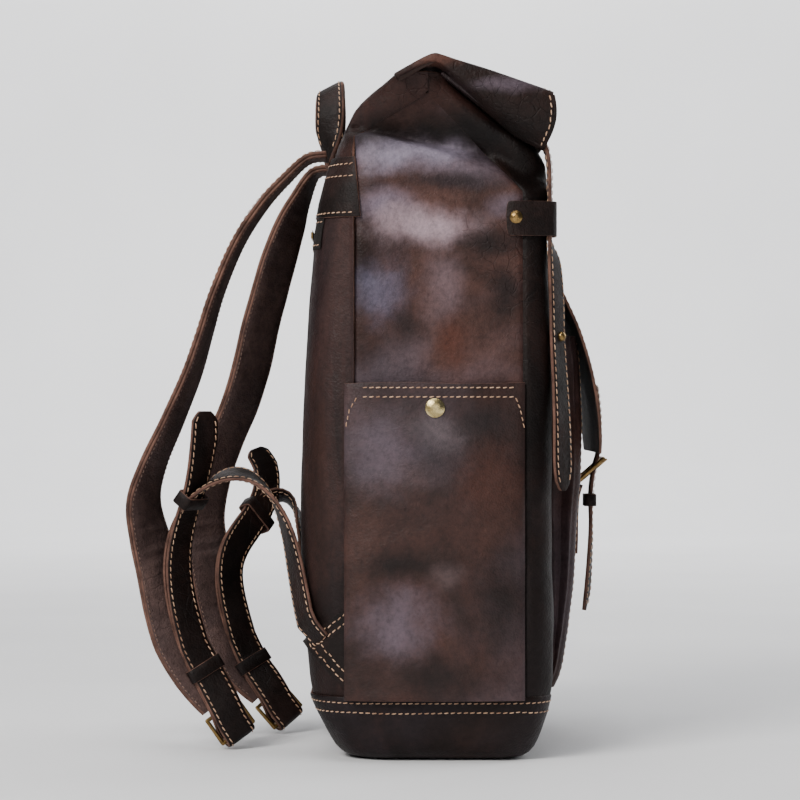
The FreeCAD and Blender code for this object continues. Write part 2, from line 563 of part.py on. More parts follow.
def front_fastening():
    length = (FRONT_TIP - FRONT_BAR).Length
    forward = FRONT_TIP - FRONT_BAR
    frame = oriented(ring_frame(FRONT_BUCKLE_WIDTH, length), FRONT_BAR, forward, V(1, 0, 0))
    tongue = oriented(prong(length, BAR + 1.1), FRONT_BAR, forward, V(1, 0, 0))
    put("front_buckle", frame)
    put("front_prong", tongue)
    strap = ribbon(BILLET, -BILLET_THICK / 2, BILLET_THICK / 2)
    slot = oriented(box(-SLOT_HALF, SLOT_HALF, -4, length + 8, -6, 9), FRONT_BAR, forward, V(1, 0, 0))
    put("billet", strap.cut(slot))
    face_gap = [(between(FRONT_POCKET, z, 1) - FIT, z) for z in (140.0, 165.0, 186.0)]
    anchor = face_gap + [(FRONT_BAR.y - 0.6, 192.6), (FRONT_BAR.y - 3.0, 191.0),
                         (face_gap[2][0] - 3.4, 184.0), (face_gap[1][0] - 2.2, 165.0),
                         (face_gap[0][0] - 2.2, 140.0)]
    put("buckle_anchor", profile_plate(anchor, -BILLET_WIDTH / 2, BILLET_WIDTH / 2))
    keeper = loop(BILLET_WIDTH + 1.0, 6.4, 1.4, 9.0)
    put("billet_keeper", oriented(keeper, V(0, -118.0, 180.0), V(0, 0, -1), V(1, 0, 0)))


# ---- carrying straps ------------------------------------------------------------------------
HANDLE = (
    ((-28, 77.5, 431.0), (1.0, 0.25, 0.0), 18.0),
    ((-29, 77.0, 441.0), (0.85, 0.55, -0.05), 19.0),
    ((-31, 77.0, 454.0), (0.45, 0.88, -0.2), HANDLE_WIDTH),
    ((-30, 76.5, 468.0), (0.12, 0.93, -0.33), HANDLE_WIDTH),
    ((-22, 76.5, 481.0), (0.03, 0.91, -0.42), HANDLE_WIDTH),
    ((-10, 76.5, 487.5), (0.0, 0.89, -0.46), HANDLE_WIDTH),
    ((10, 76.5, 487.5), (0.0, 0.89, -0.46), HANDLE_WIDTH),
    ((22, 76.5, 481.0), (-0.03, 0.91, -0.42), HANDLE_WIDTH),
    ((30, 76.5, 468.0), (-0.12, 0.93, -0.33), HANDLE_WIDTH),
    ((31, 77.0, 454.0), (-0.45, 0.88, -0.2), HANDLE_WIDTH),
    ((29, 77.0, 441.0), (-0.85, 0.55, -0.05), 19.0),
    ((28, 77.5, 431.0), (-1.0, 0.25, 0.0), 18.0),
)

STRAP = {
    LEFT: (
        ((-62, 78.0, 433.0), (1.0, 0.0, 0.0), 42.0),
        ((-62, 92.0, 430.5), (1.0, 0.0, 0.0), 42.0),
        ((-62, 108.0, 416.0), (1.0, -0.03, 0.0), 42.0),
        ((-62, 126.0, 396.0), (1.0, -0.06, 0.0), 42.0),
        ((-62, 143.0, 369.0), (1.0, -0.08, 0.0), 42.0),
        ((-62, 157.0, 336.0), (1.0, -0.1, 0.0), 42.0),
        ((-62, 167.0, 304.0), (0.99, -0.14, 0.0), 42.0),
        ((-62, 176.0, 275.0), (0.97, -0.2, 0.0), 42.0),
        ((-62, 190.0, 241.0), (0.95, -0.27, 0.0), 42.0),
        ((-62, 205.0, 206.0), (0.92, -0.36, 0.05), 42.0),
        ((-62, 211.5, 180.0), (0.87, -0.46, 0.05), 42.0),
        ((-62, 207.0, 154.0), (0.8, -0.58, 0.05), 42.0),
        ((-62, 200.0, 129.0), (0.72, -0.68, 0.1), 42.0),
        ((-62, 193.5, 104.0), (0.62, -0.77, 0.15), 42.0),
        ((-62, 185.5, 79.0), (0.52, -0.82, 0.25), 41.0),
        ((-62, 173.0, 55.0), (0.42, -0.8, 0.4), 36.0),
        ((-62, 157.5, 33.0), (0.34, -0.72, 0.55), 28.0),
    ),
    RIGHT: (
        ((60, 78.0, 433.0), (1.0, 0.0, 0.0), 42.0),
        ((60, 91.0, 429.0), (1.0, -0.1, 0.0), 42.0),
        ((60, 101.5, 409.0), (0.95, -0.3, 0.05), 42.0),
        ((59, 109.5, 388.0), (0.86, -0.5, 0.1), 42.0),
        ((58, 117.5, 364.0), (0.8, -0.58, 0.1), 42.0),
        ((57, 125.0, 338.0), (0.78, -0.6, 0.1), 42.0),
        ((56, 132.5, 310.0), (0.77, -0.61, 0.1), 42.0),
        ((55, 138.5, 281.0), (0.76, -0.62, 0.1), 42.0),
        ((54, 147.5, 252.0), (0.75, -0.63, 0.12), 42.0),
        ((53, 160.0, 222.0), (0.74, -0.64, 0.14), 42.0),
        ((51, 171.0, 191.0), (0.72, -0.67, 0.1), 42.0),
        ((49, 175.5, 163.0), (0.7, -0.7, 0.05), 42.0),
        ((47, 171.5, 134.0), (0.67, -0.72, 0.08), 42.0),
        ((45, 165.0, 105.0), (0.63, -0.75, 0.15), 42.0),
        ((43, 156.5, 77.0), (0.57, -0.78, 0.25), 41.0),
        ((41, 143.5, 50.0), (0.5, -0.77, 0.4), 36.0),
        ((39, 127.5, 32.0), (0.44, -0.7, 0.55), 28.0),
    ),
}

# The strap from the bag's lower corner to the sliding keeper
ADJUSTER_OUT = {
    LEFT: (
        ((-127, 92.5, 92.0), (0.75, 0.5, 0.35), ADJUSTER_WIDTH),
        ((-124, 96.0, 112.0), (0.8, 0.45, 0.2), ADJUSTER_WIDTH),
        ((-117, 98.5, 142.0), (0.85, 0.5, 0.2), ADJUSTER_WIDTH),
        ((-109, 106.5, 174.0), (0.86, 0.45, 0.3), ADJUSTER_WIDTH),
        ((-100, 122.0, 197.5), (0.85, 0.3, 0.42), ADJUSTER_WIDTH),
        ((-94, 141.0, 207.5), (0.82, 0.1, 0.55), ADJUSTER_WIDTH),
        ((-89, 160.0, 200.0), (0.78, -0.3, 0.5), ADJUSTER_WIDTH),
        ((-84, 176.5, 184.0), (0.7, -0.6, 0.3), ADJUSTER_WIDTH),
        ((-76, 187.5, 160.0), (0.66, -0.72, 0.1), ADJUSTER_WIDTH),
    ),
    RIGHT: (
        ((127, 92.5, 92.0), (0.75, -0.5, 0.35), ADJUSTER_WIDTH),
        ((124, 96.0, 112.0), (0.8, -0.45, 0.2), ADJUSTER_WIDTH),
        ((118, 98.5, 142.0), (0.85, -0.4, 0.1), ADJUSTER_WIDTH),
        ((110, 104.0, 169.0), (0.9, -0.3, -0.1), ADJUSTER_WIDTH),
        ((100, 115.0, 181.5), (0.85, -0.3, -0.3), ADJUSTER_WIDTH),
        ((88, 128.0, 177.5), (0.78, -0.5, -0.2), ADJUSTER_WIDTH),
        ((72, 137.0, 165.0), (0.72, -0.66, 0.0), ADJUSTER_WIDTH),
        ((54, 148.0, 149.0), (0.66, -0.72, 0.1), ADJUSTER_WIDTH),
    ),
}
# The free end above the sliding keeper
ADJUSTER_TAIL = {
    LEFT: (
        ((-91, 167.5, 206.0), (0.66, -0.7, 0.2), ADJUSTER_WIDTH),
        ((-93, 165.5, 227.0), (0.62, -0.76, 0.1), ADJUSTER_WIDTH),
        ((-94, 165.0, 247.0), (0.6, -0.8, 0.0), ADJUSTER_WIDTH),
    ),
    RIGHT: (
        ((88, 124.0, 186.0), (0.66, -0.7, 0.15), ADJUSTER_WIDTH),
        ((93, 130.0, 203.0), (0.62, -0.74, 0.2), ADJUSTER_WIDTH),
        ((96, 138.0, 217.0), (0.6, -0.74, 0.3), ADJUSTER_WIDTH),
    ),
}


def handle():
    put("haul_handle", ribbon(HANDLE, -HANDLE_THICK / 2, HANDLE_THICK / 2))


def strap_end(side):
    """The middle, direction and width direction of a shoulder strap's lower end."""
    point, tangent, across, width = along(STRAP[side], 1)[-1]
    return point, tangent, across


def adjuster(side):
    """Stations of the whole adjuster strap."""
    strap_rows = along(STRAP[side], 1)
    out_rows = along(ADJUSTER_OUT[side], 1)
    stations = list(ADJUSTER_OUT[side])

    def strand(index, lift):
        point, tangent, across, width = strap_rows[index]
        normal = tangent.cross(across)
        at = point + normal * lift + across * STRAND_SHIFT
        return tuple(at), tuple(across), ADJUSTER_WIDTH

    down = [strand(i, NEAR_STRAND + ease) for i, ease in zip(range(*STRANDS), EASE)]
    up = [strand(i, FAR_STRAND + ease) for i, ease in zip(range(*STRANDS), EASE)][::-1]
    point, tangent, across = strap_end(side)
    normal = tangent.cross(across)
    turn_at = BUCKLE_AHEAD + BUCKLE_LENGTH
    r = ROLLER + FIT + ADJUSTER_THICK / 2
    local = [(-8.0, NEAR_STRAND + 0.2, 0.6), (2.5, NEAR_STRAND - 0.6, 0.3), (10.0, 1.6, 0.1),
             (17.0, -2.8, 0.0)]
    local += [(turn_at + r * math.sin(a), -r * math.cos(a), 0.0)
              for a in (math.radians(d) for d in (0, 45, 90, 135, 180))]
    local += [(15.0, 6.8, 0.0), (6.0, FAR_STRAND + 0.4, 0.2), (-7.0, FAR_STRAND + 0.6, 0.6)]
    turn = [(tuple(point + tangent * t + normal * n + across * STRAND_SHIFT * s), tuple(across),
             ADJUSTER_WIDTH) for t, n, s in local]
    passing = []
    for row in (out_rows[-1], out_rows[-2]):
        normal = row[1].cross(row[2])
        passing.append((tuple(row[0] + normal * STRAND_GAP), tuple(row[2]), ADJUSTER_WIDTH))
    return stations + down + turn + up + passing + list(ADJUSTER_TAIL[side])


def carrying_straps():
    for side, word in SIDES:
        put("shoulder_strap_" + word, ribbon(STRAP[side], -STRAP_LEATHER, 0.0))
        put("strap_lining_" + word, ribbon(STRAP[side], 0.05, STRAP_LINING))
        point, tangent, across = strap_end(side)
        normal = tangent.cross(across)
        at = point + tangent * BUCKLE_AHEAD
        away = across * -1.0
        put("strap_buckle_" + word, oriented(ring_frame(BUCKLE_WIDTH, BUCKLE_LENGTH), at, tangent, away))
        tongue = prong(BUCKLE_LENGTH, ROLLER + 1.1)
        put("strap_prong_" + word, oriented(tongue, at, tangent, away))
        reach = BUCKLE_WIDTH / 2 - BAR - 1.0
        sleeve = rod(ROLLER, V(-reach, BUCKLE_LENGTH, 0), V(reach, BUCKLE_LENGTH, 0))
        sleeve = sleeve.cut(rod(BAR + ROLLER_FIT, V(-20, BUCKLE_LENGTH, 0), V(20, BUCKLE_LENGTH, 0)))
        put("strap_roller_" + word, oriented(sleeve, at, tangent, away))
        strap = ribbon(adjuster(side), -ADJUSTER_THICK / 2, ADJUSTER_THICK / 2)
        slot = box(-SLOT_HALF, SLOT_HALF, -5.0, BUCKLE_LENGTH + 4.0, -7.0, 17.0)
        strap = strap.cut(oriented(slot, at, tangent, away))
        put("adjuster_strap_" + word, strap)

        row = along(ADJUSTER_OUT[side], 1)[-2]
        middle = row[0] + row[1].cross(row[2]) * (STRAND_GAP / 2)
        keeper = loop(ADJUSTER_WIDTH + 2.0, STRAND_GAP + ADJUSTER_THICK + 2.6, 1.4, 10.0)
        put("sliding_keeper_" + word, oriented(keeper, middle, row[1], row[2] * -1.0))
        row = along(STRAP[side], 1)[LOWER_KEEPER_AT]
        middle = row[0] + row[1].cross(row[2]) * ((NEAR_STRAND + FAR_STRAND) / 2) + row[2] * STRAND_SHIFT
        keeper = loop(ADJUSTER_WIDTH + 1.4, FAR_STRAND - NEAR_STRAND + ADJUSTER_THICK + 1.2, 1.2, 10.0)
        put("fixed_keeper_" + word, oriented(keeper, middle, row[1], row[2] * -1.0))
        put("corner_patch_" + word, sided(corner_patch(), side))


def corner_patch():
    """A triangle of leather over the adjuster's sewn end, round the back corner."""
    heights = levels(PATCH_LOW, PATCH_HIGH)
    ring = tube(heights, FIT + THIN).cut(tube(heights, FIT))
    tip = between(BODY, PATCH_TIP, 2) + 10.0
    outline = [(GUSSET_BACK, PATCH_HIGH), (tip, PATCH_TIP + 4), (tip, PATCH_TIP - 4),
               (GUSSET_BACK, PATCH_LOW)]
    return ring.common(profile_plate(outline, -160, -104))


def main():
    os.makedirs("parts", exist_ok=True)
    body_panels()
    base()
    inside()
    yoke_and_zip()
    roll_top()
    closures()
    side_pockets()
    front_pocket()
    front_fastening()
    handle()
    carrying_straps()
    for name, shape in parts.items():
        good = shape.isValid() and shape.Volume > 0
        print(f"{name:24s} {'ok ' if good else 'BAD'} {len(shape.Solids)} solids {shape.Volume / 1000:8.2f} cm3")
        shape.exportStep(os.path.join("parts", name + ".step"))


main()
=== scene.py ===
"""Looks of the roll-top leather backpack, in metres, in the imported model's frame."""
import bmesh
import bpy
import math
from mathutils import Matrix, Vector, noise
from mathutils.bvhtree import BVHTree


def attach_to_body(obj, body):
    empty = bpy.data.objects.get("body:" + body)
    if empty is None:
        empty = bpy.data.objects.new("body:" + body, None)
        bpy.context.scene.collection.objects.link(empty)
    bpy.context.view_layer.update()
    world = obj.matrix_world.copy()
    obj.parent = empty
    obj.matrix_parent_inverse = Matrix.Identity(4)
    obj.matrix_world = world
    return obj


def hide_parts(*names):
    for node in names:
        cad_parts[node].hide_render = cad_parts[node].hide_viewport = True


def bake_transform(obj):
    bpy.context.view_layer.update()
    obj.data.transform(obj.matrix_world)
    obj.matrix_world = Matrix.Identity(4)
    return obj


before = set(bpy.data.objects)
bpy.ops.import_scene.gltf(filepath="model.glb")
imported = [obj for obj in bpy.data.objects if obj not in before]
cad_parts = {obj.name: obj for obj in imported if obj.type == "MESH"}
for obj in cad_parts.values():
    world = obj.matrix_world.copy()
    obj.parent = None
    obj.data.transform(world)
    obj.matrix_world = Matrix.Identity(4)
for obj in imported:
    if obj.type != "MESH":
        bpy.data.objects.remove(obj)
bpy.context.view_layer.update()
LEFT, RIGHT = -1, 1
SIDES = ((LEFT, "left"), (RIGHT, "right"))
MM = 0.001


def mm(*values):
    return Vector([v * MM for v in values])


def rgb(r, g, b):
    """A colour given as it looks on a screen, for a shader."""
    parts = [v / 255 for v in (r, g, b)]
    return tuple(v / 12.92 if v < 0.0405 else ((v + 0.055) / 1.055) ** 2.4 for v in parts) + (1.0,)


# ---- materials ------------------------------------------------------------------------------
class Shader:
    """A material's nodes, with short names for the ones used here."""

    def __init__(self, name, **sockets):
        self.material = bpy.data.materials.new(name)
        self.material.use_nodes = True
        self.tree = self.material.node_tree
        self.tree.nodes.clear()
        self.bsdf = self.tree.nodes.new("ShaderNodeBsdfPrincipled")
        out = self.tree.nodes.new("ShaderNodeOutputMaterial")
        self.tree.links.new(self.bsdf.outputs[0], out.inputs[0])
        self.where = self.tree.nodes.new("ShaderNodeTexCoord").outputs["Object"]
        for socket, value in sockets.items():
            self.put(self.bsdf.inputs[socket.replace("_", " ")], value)

    def put(self, socket, value):
        if isinstance(value, bpy.types.NodeSocket):
            self.tree.links.new(value, socket)
        else:
            socket.default_value = value

    def node(self, kind, out=0, inputs=(), **settings):
        made = self.tree.nodes.new(kind)
        for key, value in settings.items():
            setattr(made, key, value)
        for key, value in inputs:
            self.put(made.inputs[key], value)
        return made.outputs[out]

    def vector(self, how, a, b=(0, 0, 0), out=0):
        return self.node("ShaderNodeVectorMath", out, ((0, a), (1, b)), operation=how)

    def math(self, how, a, b=0.0):
        return self.node("ShaderNodeMath", 0, ((0, a), (1, b)), operation=how)

    def noise(self, scale, detail=3.0, rough=0.5, twist=0.0, stretch=(1, 1, 1), shift=(0, 0, 0), out=0):
        at = self.node("ShaderNodeMapping", 0, ((0, self.where), (1, shift), (3, stretch)))
        return self.node("ShaderNodeTexNoise", out, (("Vector", at), ("Scale", scale), ("Detail", detail),
                                                     ("Roughness", rough), ("Distortion", twist)))

    def remap(self, value, low, high, to_low=0.0, to_high=1.0):
        inputs = enumerate((value, low, high, to_low, to_high))
        return self.node("ShaderNodeMapRange", 0, inputs, interpolation_type="SMOOTHSTEP")

    def ramp(self, value, stops):
        made = self.tree.nodes.new("ShaderNodeValToRGB")
        band = made.color_ramp
        while len(band.elements) < len(stops):
            band.elements.new(0.5)
        for element, (at, colour) in zip(band.elements, stops):
            element.position = at
            element.color = colour
        self.put(made.inputs[0], value)
        return made.outputs[0]

    def mix(self, amount, a, b, how="MIX"):
        made = self.tree.nodes.new("ShaderNodeMix")
        made.data_type = "RGBA"
        made.blend_type = how
        for index, value in ((0, amount), (6, a), (7, b)):
            self.put(made.inputs[index], value)
        return made.outputs[2]

    def spot(self, centre, size):
        """1 in the middle of a soft patch and 0 outside it."""
        stray = self.vector("SUBTRACT", self.noise(24.0, 5.0, 0.62, out=1), (0.5, 0.5, 0.5))
        stray = self.vector("MULTIPLY", stray, (1.92, 1.92, 1.92))
        local = self.vector("DIVIDE", self.vector("SUBTRACT", self.where, centre), size)
        length = self.vector("LENGTH", self.vector("ADD", local, stray), out=1)
        return self.remap(length, 1.45, 0.1)

    def bump(self, height, distance, under=None):
        inputs = [("Height", height), ("Distance", distance)]
        if under is not None:
            inputs.append(("Normal", under))
        return self.node("ShaderNodeBump", 0, inputs)


def leather(name, dark, mid, light, sheen_tint, sheen_amount=0.5, patch=11.0, rough=(0.44, 0.62), spots=(),
            stretch=(1, 1, 1), shift=(0, 0, 0), grain=1.0, gloss=0.16):
    """Waxed pull-up leather: cloudy browns, patches of bluish painted sheen that stand for the wax's
    reflection of the light, creases darkened with painted shade, fine grain and scuffs.
    """
    s = Shader(name, Specular_IOR_Level=gloss)
    cloud = s.noise(patch, 6.0, 0.62, 0.9, stretch, shift)
    colour = s.ramp(cloud, ((0.28, dark), (0.5, mid), (0.73, light)))
    # painted sheen: patches of the bluish tint that stand for the wax's reflection of the light
    painted_sheen = s.remap(s.noise(patch * 0.6, 4.0, 0.55, 0.5, stretch, tuple(v + 3.7 for v in shift)), 0.45, 0.68)
    colour = s.mix(s.math("MULTIPLY", painted_sheen, sheen_amount), colour, sheen_tint)
    for centre, size, tint, amount in spots:
        colour = s.mix(s.math("MULTIPLY", s.spot(centre, size), amount), colour, tint)
    speckle = s.noise(260.0, 5.0, 0.7)
    colour = s.mix(0.55, colour, s.ramp(speckle, ((0.3, (0.42, 0.42, 0.42, 1)), (0.52, (1, 1, 1, 1)),
                                                   (0.8, (1.5, 1.4, 1.35, 1)))), "MULTIPLY")
    bent = s.vector("ADD", s.where, s.vector("MULTIPLY", s.noise(16.0, 3.0, out=1), (0.05, 0.05, 0.05)))
    crack = s.node("ShaderNodeTexVoronoi", 0, (("Vector", bent), ("Scale", 95.0)), feature="DISTANCE_TO_EDGE")
    fold = s.math("MULTIPLY", s.remap(crack, 0.045, 0.0), s.remap(s.noise(9.0, 2.0), 0.55, 0.72))
    # painted shade in the creases: the crease lines are darkened towards the dark colour
    colour = s.mix(s.math("MULTIPLY", fold, 0.22), colour, dark)
    scuff = s.remap(s.noise(38.0, 6.0, 0.75, 1.2, (1, 1, 5), shift), 0.63, 0.8)
    colour = s.mix(s.math("MULTIPLY", scuff, 0.35), colour, light)
    s.put(s.bsdf.inputs["Base Color"], colour)
    shine = s.math("ADD", s.remap(s.noise(26.0, 5.0, 0.65, 0.4, stretch), 0.3, 0.7, rough[0], rough[1]),
                   s.math("MULTIPLY", scuff, 0.12))
    s.put(s.bsdf.inputs["Roughness"], shine)
    pebble = s.node("ShaderNodeTexVoronoi", 0, (("Vector", s.where), ("Scale", 640.0)), feature="F1")
    normal = s.bump(s.noise(14.0, 4.0, 0.55, 0.3), 0.004)
    normal = s.bump(s.noise(70.0, 4.0, 0.6, 0.5), 0.0006, normal)
    normal = s.bump(fold, -0.0003, normal)
    normal = s.bump(pebble, 0.00022 * grain, normal)
    normal = s.bump(s.noise(1500.0, 3.0, 0.6), 0.00012 * grain, normal)
    s.put(s.bsdf.inputs["Normal"], normal)
    return s.material


def raw_edge(name, dark, light):
    """The cut edge of leather: pale, fibrous and rough."""
    s = Shader(name, Specular_IOR_Level=0.25)
    fibre = s.noise(420.0, 5.0, 0.7, 0.6)
    colour = s.ramp(s.noise(60.0, 4.0, 0.6), ((0.3, dark), (0.65, light)))
    shade = s.ramp(fibre, ((0.25, (0.35, 0.33, 0.32, 1)), (0.7, (1.25, 1.2, 1.15, 1))))
    s.put(s.bsdf.inputs["Base Color"], s.mix(0.6, colour, shade, "MULTIPLY"))
    s.put(s.bsdf.inputs["Roughness"], s.remap(fibre, 0.3, 0.7, 0.62, 0.85))
    s.put(s.bsdf.inputs["Normal"], s.bump(fibre, 0.0006))
    return s.material


def metal(name, dark, light, rough=(0.24, 0.5)):
    """Antique brass: bright where it is handled, brown in its hollows."""
    s = Shader(name, Metallic=1.0)
    wear = s.noise(95.0, 6.0, 0.68, 0.6)
    s.put(s.bsdf.inputs["Base Color"], s.ramp(wear, ((0.3, dark), (0.62, light))))
    s.put(s.bsdf.inputs["Roughness"], s.remap(wear, 0.3, 0.7, rough[1], rough[0]))
    s.put(s.bsdf.inputs["Normal"], s.bump(s.noise(600.0, 4.0, 0.6), 0.00015))
    return s.material


def thread(name, dark, light):
    s = Shader(name, Specular_IOR_Level=0.3, Sheen_Weight=0.25)
    s.put(s.bsdf.inputs["Base Color"], s.ramp(s.noise(75.0, 4.0, 0.6), ((0.32, dark), (0.62, light))))
    twist = s.noise(2200.0, 2.0, 0.5)
    s.put(s.bsdf.inputs["Roughness"], s.remap(twist, 0.3, 0.7, 0.55, 0.8))
    s.put(s.bsdf.inputs["Normal"], s.bump(twist, 0.0003))
    return s.material


def cloth(name, dark, light, pitch=900.0, sheen=0.3):
    """Woven cloth: two sets of threads that cross."""
    s = Shader(name, Specular_IOR_Level=0.2, Sheen_Weight=sheen)
    warp = s.node("ShaderNodeTexWave", 1, (("Vector", s.where), ("Scale", pitch / 3.1), ("Distortion", 0.6)),
                  bands_direction="X")
    weft = s.node("ShaderNodeTexWave", 1, (("Vector", s.where), ("Scale", pitch / 3.1), ("Distortion", 0.6)),
                  bands_direction="Z")
    weave = s.math("MULTIPLY", warp, weft)
    colour = s.ramp(s.noise(30.0, 5.0, 0.6), ((0.3, dark), (0.7, light)))
    shade = s.ramp(weave, ((0.0, (0.5, 0.5, 0.5, 1)), (1.0, (1.3, 1.3, 1.3, 1))))
    s.put(s.bsdf.inputs["Base Color"], s.mix(0.5, colour, shade, "MULTIPLY"))
    s.put(s.bsdf.inputs["Roughness"], s.remap(weave, 0.0, 1.0, 0.95, 0.75))
    s.put(s.bsdf.inputs["Normal"], s.bump(weave, 0.0004))
    return s.material


# bluish painted sheen: the tint that stands for the wax's reflection of the light
PAINTED_SHEEN_TINT = rgb(104, 94, 104)
BODY_SHEEN_AND_PATCHES = (
    # centre, size, tint, amount: bluish painted sheen (the pale patches), dark patches and red-brown wear on
    # the side that shows most
    ((-0.14, 0.020, 0.4290), (0.08, 0.050, 0.014), rgb(136, 128, 145), 0.8),
    ((-0.14, -0.022, 0.4150), (0.08, 0.030, 0.010), rgb(104, 92, 102), 0.6),
    ((-0.14, -0.012, 0.4090), (0.06, 0.036, 0.008), rgb(30, 22, 24), 0.85),
    ((-0.14, 0.043, 0.4070), (0.06, 0.014, 0.007), rgb(44, 34, 38), 0.6),
    ((-0.14, 0.036, 0.3930), (0.08, 0.022, 0.012), rgb(124, 113, 128), 0.65),
    ((-0.14, -0.050, 0.3915), (0.08, 0.014, 0.010), rgb(102, 92, 104), 0.6),
    ((-0.14, 0.004, 0.3770), (0.08, 0.042, 0.014), rgb(160, 140, 148), 0.8),
    ((-0.14, -0.038, 0.3640), (0.06, 0.022, 0.012), rgb(22, 15, 15), 0.9),
    ((-0.14, 0.028, 0.3630), (0.06, 0.020, 0.008), rgb(48, 34, 34), 0.6),
    ((-0.14, 0.038, 0.3320), (0.06, 0.018, 0.026), rgb(92, 88, 106), 0.7),
    ((-0.14, -0.004, 0.3360), (0.05, 0.016, 0.024), rgb(104, 86, 90), 0.7),
    ((-0.14, -0.048, 0.3280), (0.06, 0.014, 0.020), rgb(22, 15, 15), 0.85),
    ((-0.14, 0.020, 0.3060), (0.06, 0.014, 0.016), rgb(30, 21, 21), 0.8),
    ((-0.14, -0.012, 0.2940), (0.05, 0.012, 0.022), rgb(78, 44, 34), 0.7),
)
HOLLOW_PAINTED_SHADE = (
    # painted shade in the fold: brown at the back of the fold, nearly black where it is deep
    ((-0.13, 0.000, 0.4700), (0.06, 0.070, 0.024), rgb(46, 28, 24), 0.95),
    ((-0.13, 0.006, 0.4440), (0.06, 0.060, 0.012), rgb(10, 6, 5), 0.97),
    ((-0.13, -0.036, 0.4400), (0.06, 0.026, 0.020), rgb(9, 5, 5), 0.97),
)
HOLLOW_PAINTED_SHADE += tuple(((-at[0], at[1], at[2]), size, tint, amount) for at, size, tint, amount in HOLLOW_PAINTED_SHADE)
POCKET_SHEEN_SHADE_AND_PATCHES = (
    # centre, size, tint, amount: painted sheen (the pale patches) and painted shade (the dark patches higher
    # up) for the pockets' soft dents, a red-brown patch, and darker along the bottom
    ((-0.15, 0.038, 0.2200), (0.08, 0.026, 0.032), rgb(88, 77, 86), 0.65),
    ((-0.15, -0.004, 0.2340), (0.08, 0.018, 0.016), rgb(94, 84, 88), 0.65),
    ((-0.15, -0.037, 0.2400), (0.08, 0.018, 0.012), rgb(30, 24, 25), 0.75),
    ((-0.15, -0.036, 0.2000), (0.08, 0.020, 0.026), rgb(64, 36, 28), 0.65),
    ((-0.15, 0.022, 0.1400), (0.08, 0.036, 0.013), rgb(18, 10, 9), 0.9),
    ((-0.15, -0.007, 0.1310), (0.08, 0.013, 0.010), rgb(88, 72, 72), 0.6),
    ((-0.15, 0.026, 0.0960), (0.08, 0.030, 0.028), rgb(100, 88, 98), 0.7),
    ((-0.15, -0.050, 0.1140), (0.08, 0.016, 0.030), rgb(20, 13, 12), 0.8),
    ((-0.15, 0.000, 0.0600), (0.08, 0.060, 0.014), rgb(24, 15, 14), 0.7),
)
LEATHER = leather("body_leather", rgb(26, 15, 13), rgb(54, 36, 32), rgb(82, 56, 50), PAINTED_SHEEN_TINT, 0.34,
                  spots=BODY_SHEEN_AND_PATCHES + HOLLOW_PAINTED_SHADE)
# painted shade: a darker copy of the body's leather for the back, with long vertical scuffs and the fold's
# painted shade
BACK_SHADED_LEATHER = leather("back_leather_painted_shade", rgb(13, 8, 7), rgb(29, 18, 16), rgb(64, 41, 35), rgb(60, 50, 54), 0.22,
                       stretch=(1.5, 1.5, 0.35), spots=HOLLOW_PAINTED_SHADE, shift=(2.7, 1.9, 0.2))
POCKET_LEATHER = leather("pocket_leather", rgb(22, 13, 11), rgb(45, 29, 26), rgb(68, 44, 38), PAINTED_SHEEN_TINT, 0.22,
                         spots=POCKET_SHEEN_SHADE_AND_PATCHES, shift=(1.3, 0.4, 2.1), gloss=0.22)
# painted shade: a darker copy of the body's leather, which makes the bag darker towards its foot
BASE_SHADED_LEATHER = leather("base_leather_painted_shade", rgb(12, 7, 6), rgb(24, 14, 11), rgb(46, 29, 24), rgb(56, 49, 56), 0.3,
                       shift=(0.9, 5.1, 1.1))
# painted shade: a darker copy of the body's leather for the front, the pocket flap and its band, which face
# away from the light, with the fold's painted shade
FRONT_SHADED_LEATHER = leather("front_leather_painted_shade", rgb(9, 5, 4), rgb(20, 12, 10), rgb(42, 26, 22), rgb(42, 34, 37), 0.15,
                       spots=HOLLOW_PAINTED_SHADE, shift=(4.1, 1.2, 0.3))
# painted shade: a darker copy of the body's leather for the roll, with spots of painted sheen along its top
# edge and ridge, painted shade low at its front and a brown patch near the back
ROLL_SHADED_LEATHER = leather("roll_leather_painted_shade", rgb(14, 8, 7), rgb(32, 20, 17), rgb(62, 40, 34), rgb(70, 61, 68), 0.3,
                      spots=(((-0.14, -0.050, 0.4760), (0.08, 0.026, 0.006), rgb(96, 84, 94), 0.6),
                             ((-0.14, -0.056, 0.446), (0.06, 0.034, 0.016), rgb(13, 8, 7), 0.9),
                             ((-0.14, 0.016, 0.4820), (0.06, 0.012, 0.010), rgb(46, 28, 24), 0.8),
                             ((-0.14, 0.002, 0.4950), (0.06, 0.020, 0.006), rgb(98, 64, 54), 0.6)),
                      shift=(0.4, 2.2, 0.8))
STRAP_LEATHER = leather("strap_leather", rgb(10, 6, 5), rgb(21, 13, 11), rgb(42, 28, 25), rgb(44, 35, 35),
                        0.15, patch=17.0, shift=(2.0, 0.1, 0.6))
STRAP_LINING = leather("strap_lining", rgb(56, 43, 41), rgb(76, 60, 57), rgb(96, 76, 71), rgb(96, 84, 84),
                       0.3, patch=20.0, rough=(0.74, 0.9), grain=1.8)
EDGE = raw_edge("raw_edge", rgb(56, 36, 30), rgb(116, 84, 72))
FLESH = raw_edge("flesh_side", rgb(28, 17, 14), rgb(50, 33, 28))
THREAD = thread("cream_thread", rgb(132, 94, 70), rgb(208, 170, 138))
DARK_THREAD = thread("brown_thread", rgb(78, 54, 44), rgb(122, 92, 78))
BRASS = metal("antique_brass", rgb(46, 33, 19), rgb(150, 122, 76))
BRIGHT_BRASS = metal("worn_brass", rgb(110, 90, 50), rgb(222, 202, 146), (0.2, 0.42))
LINING = cloth("lining_cloth", rgb(58, 46, 40), rgb(92, 76, 66))
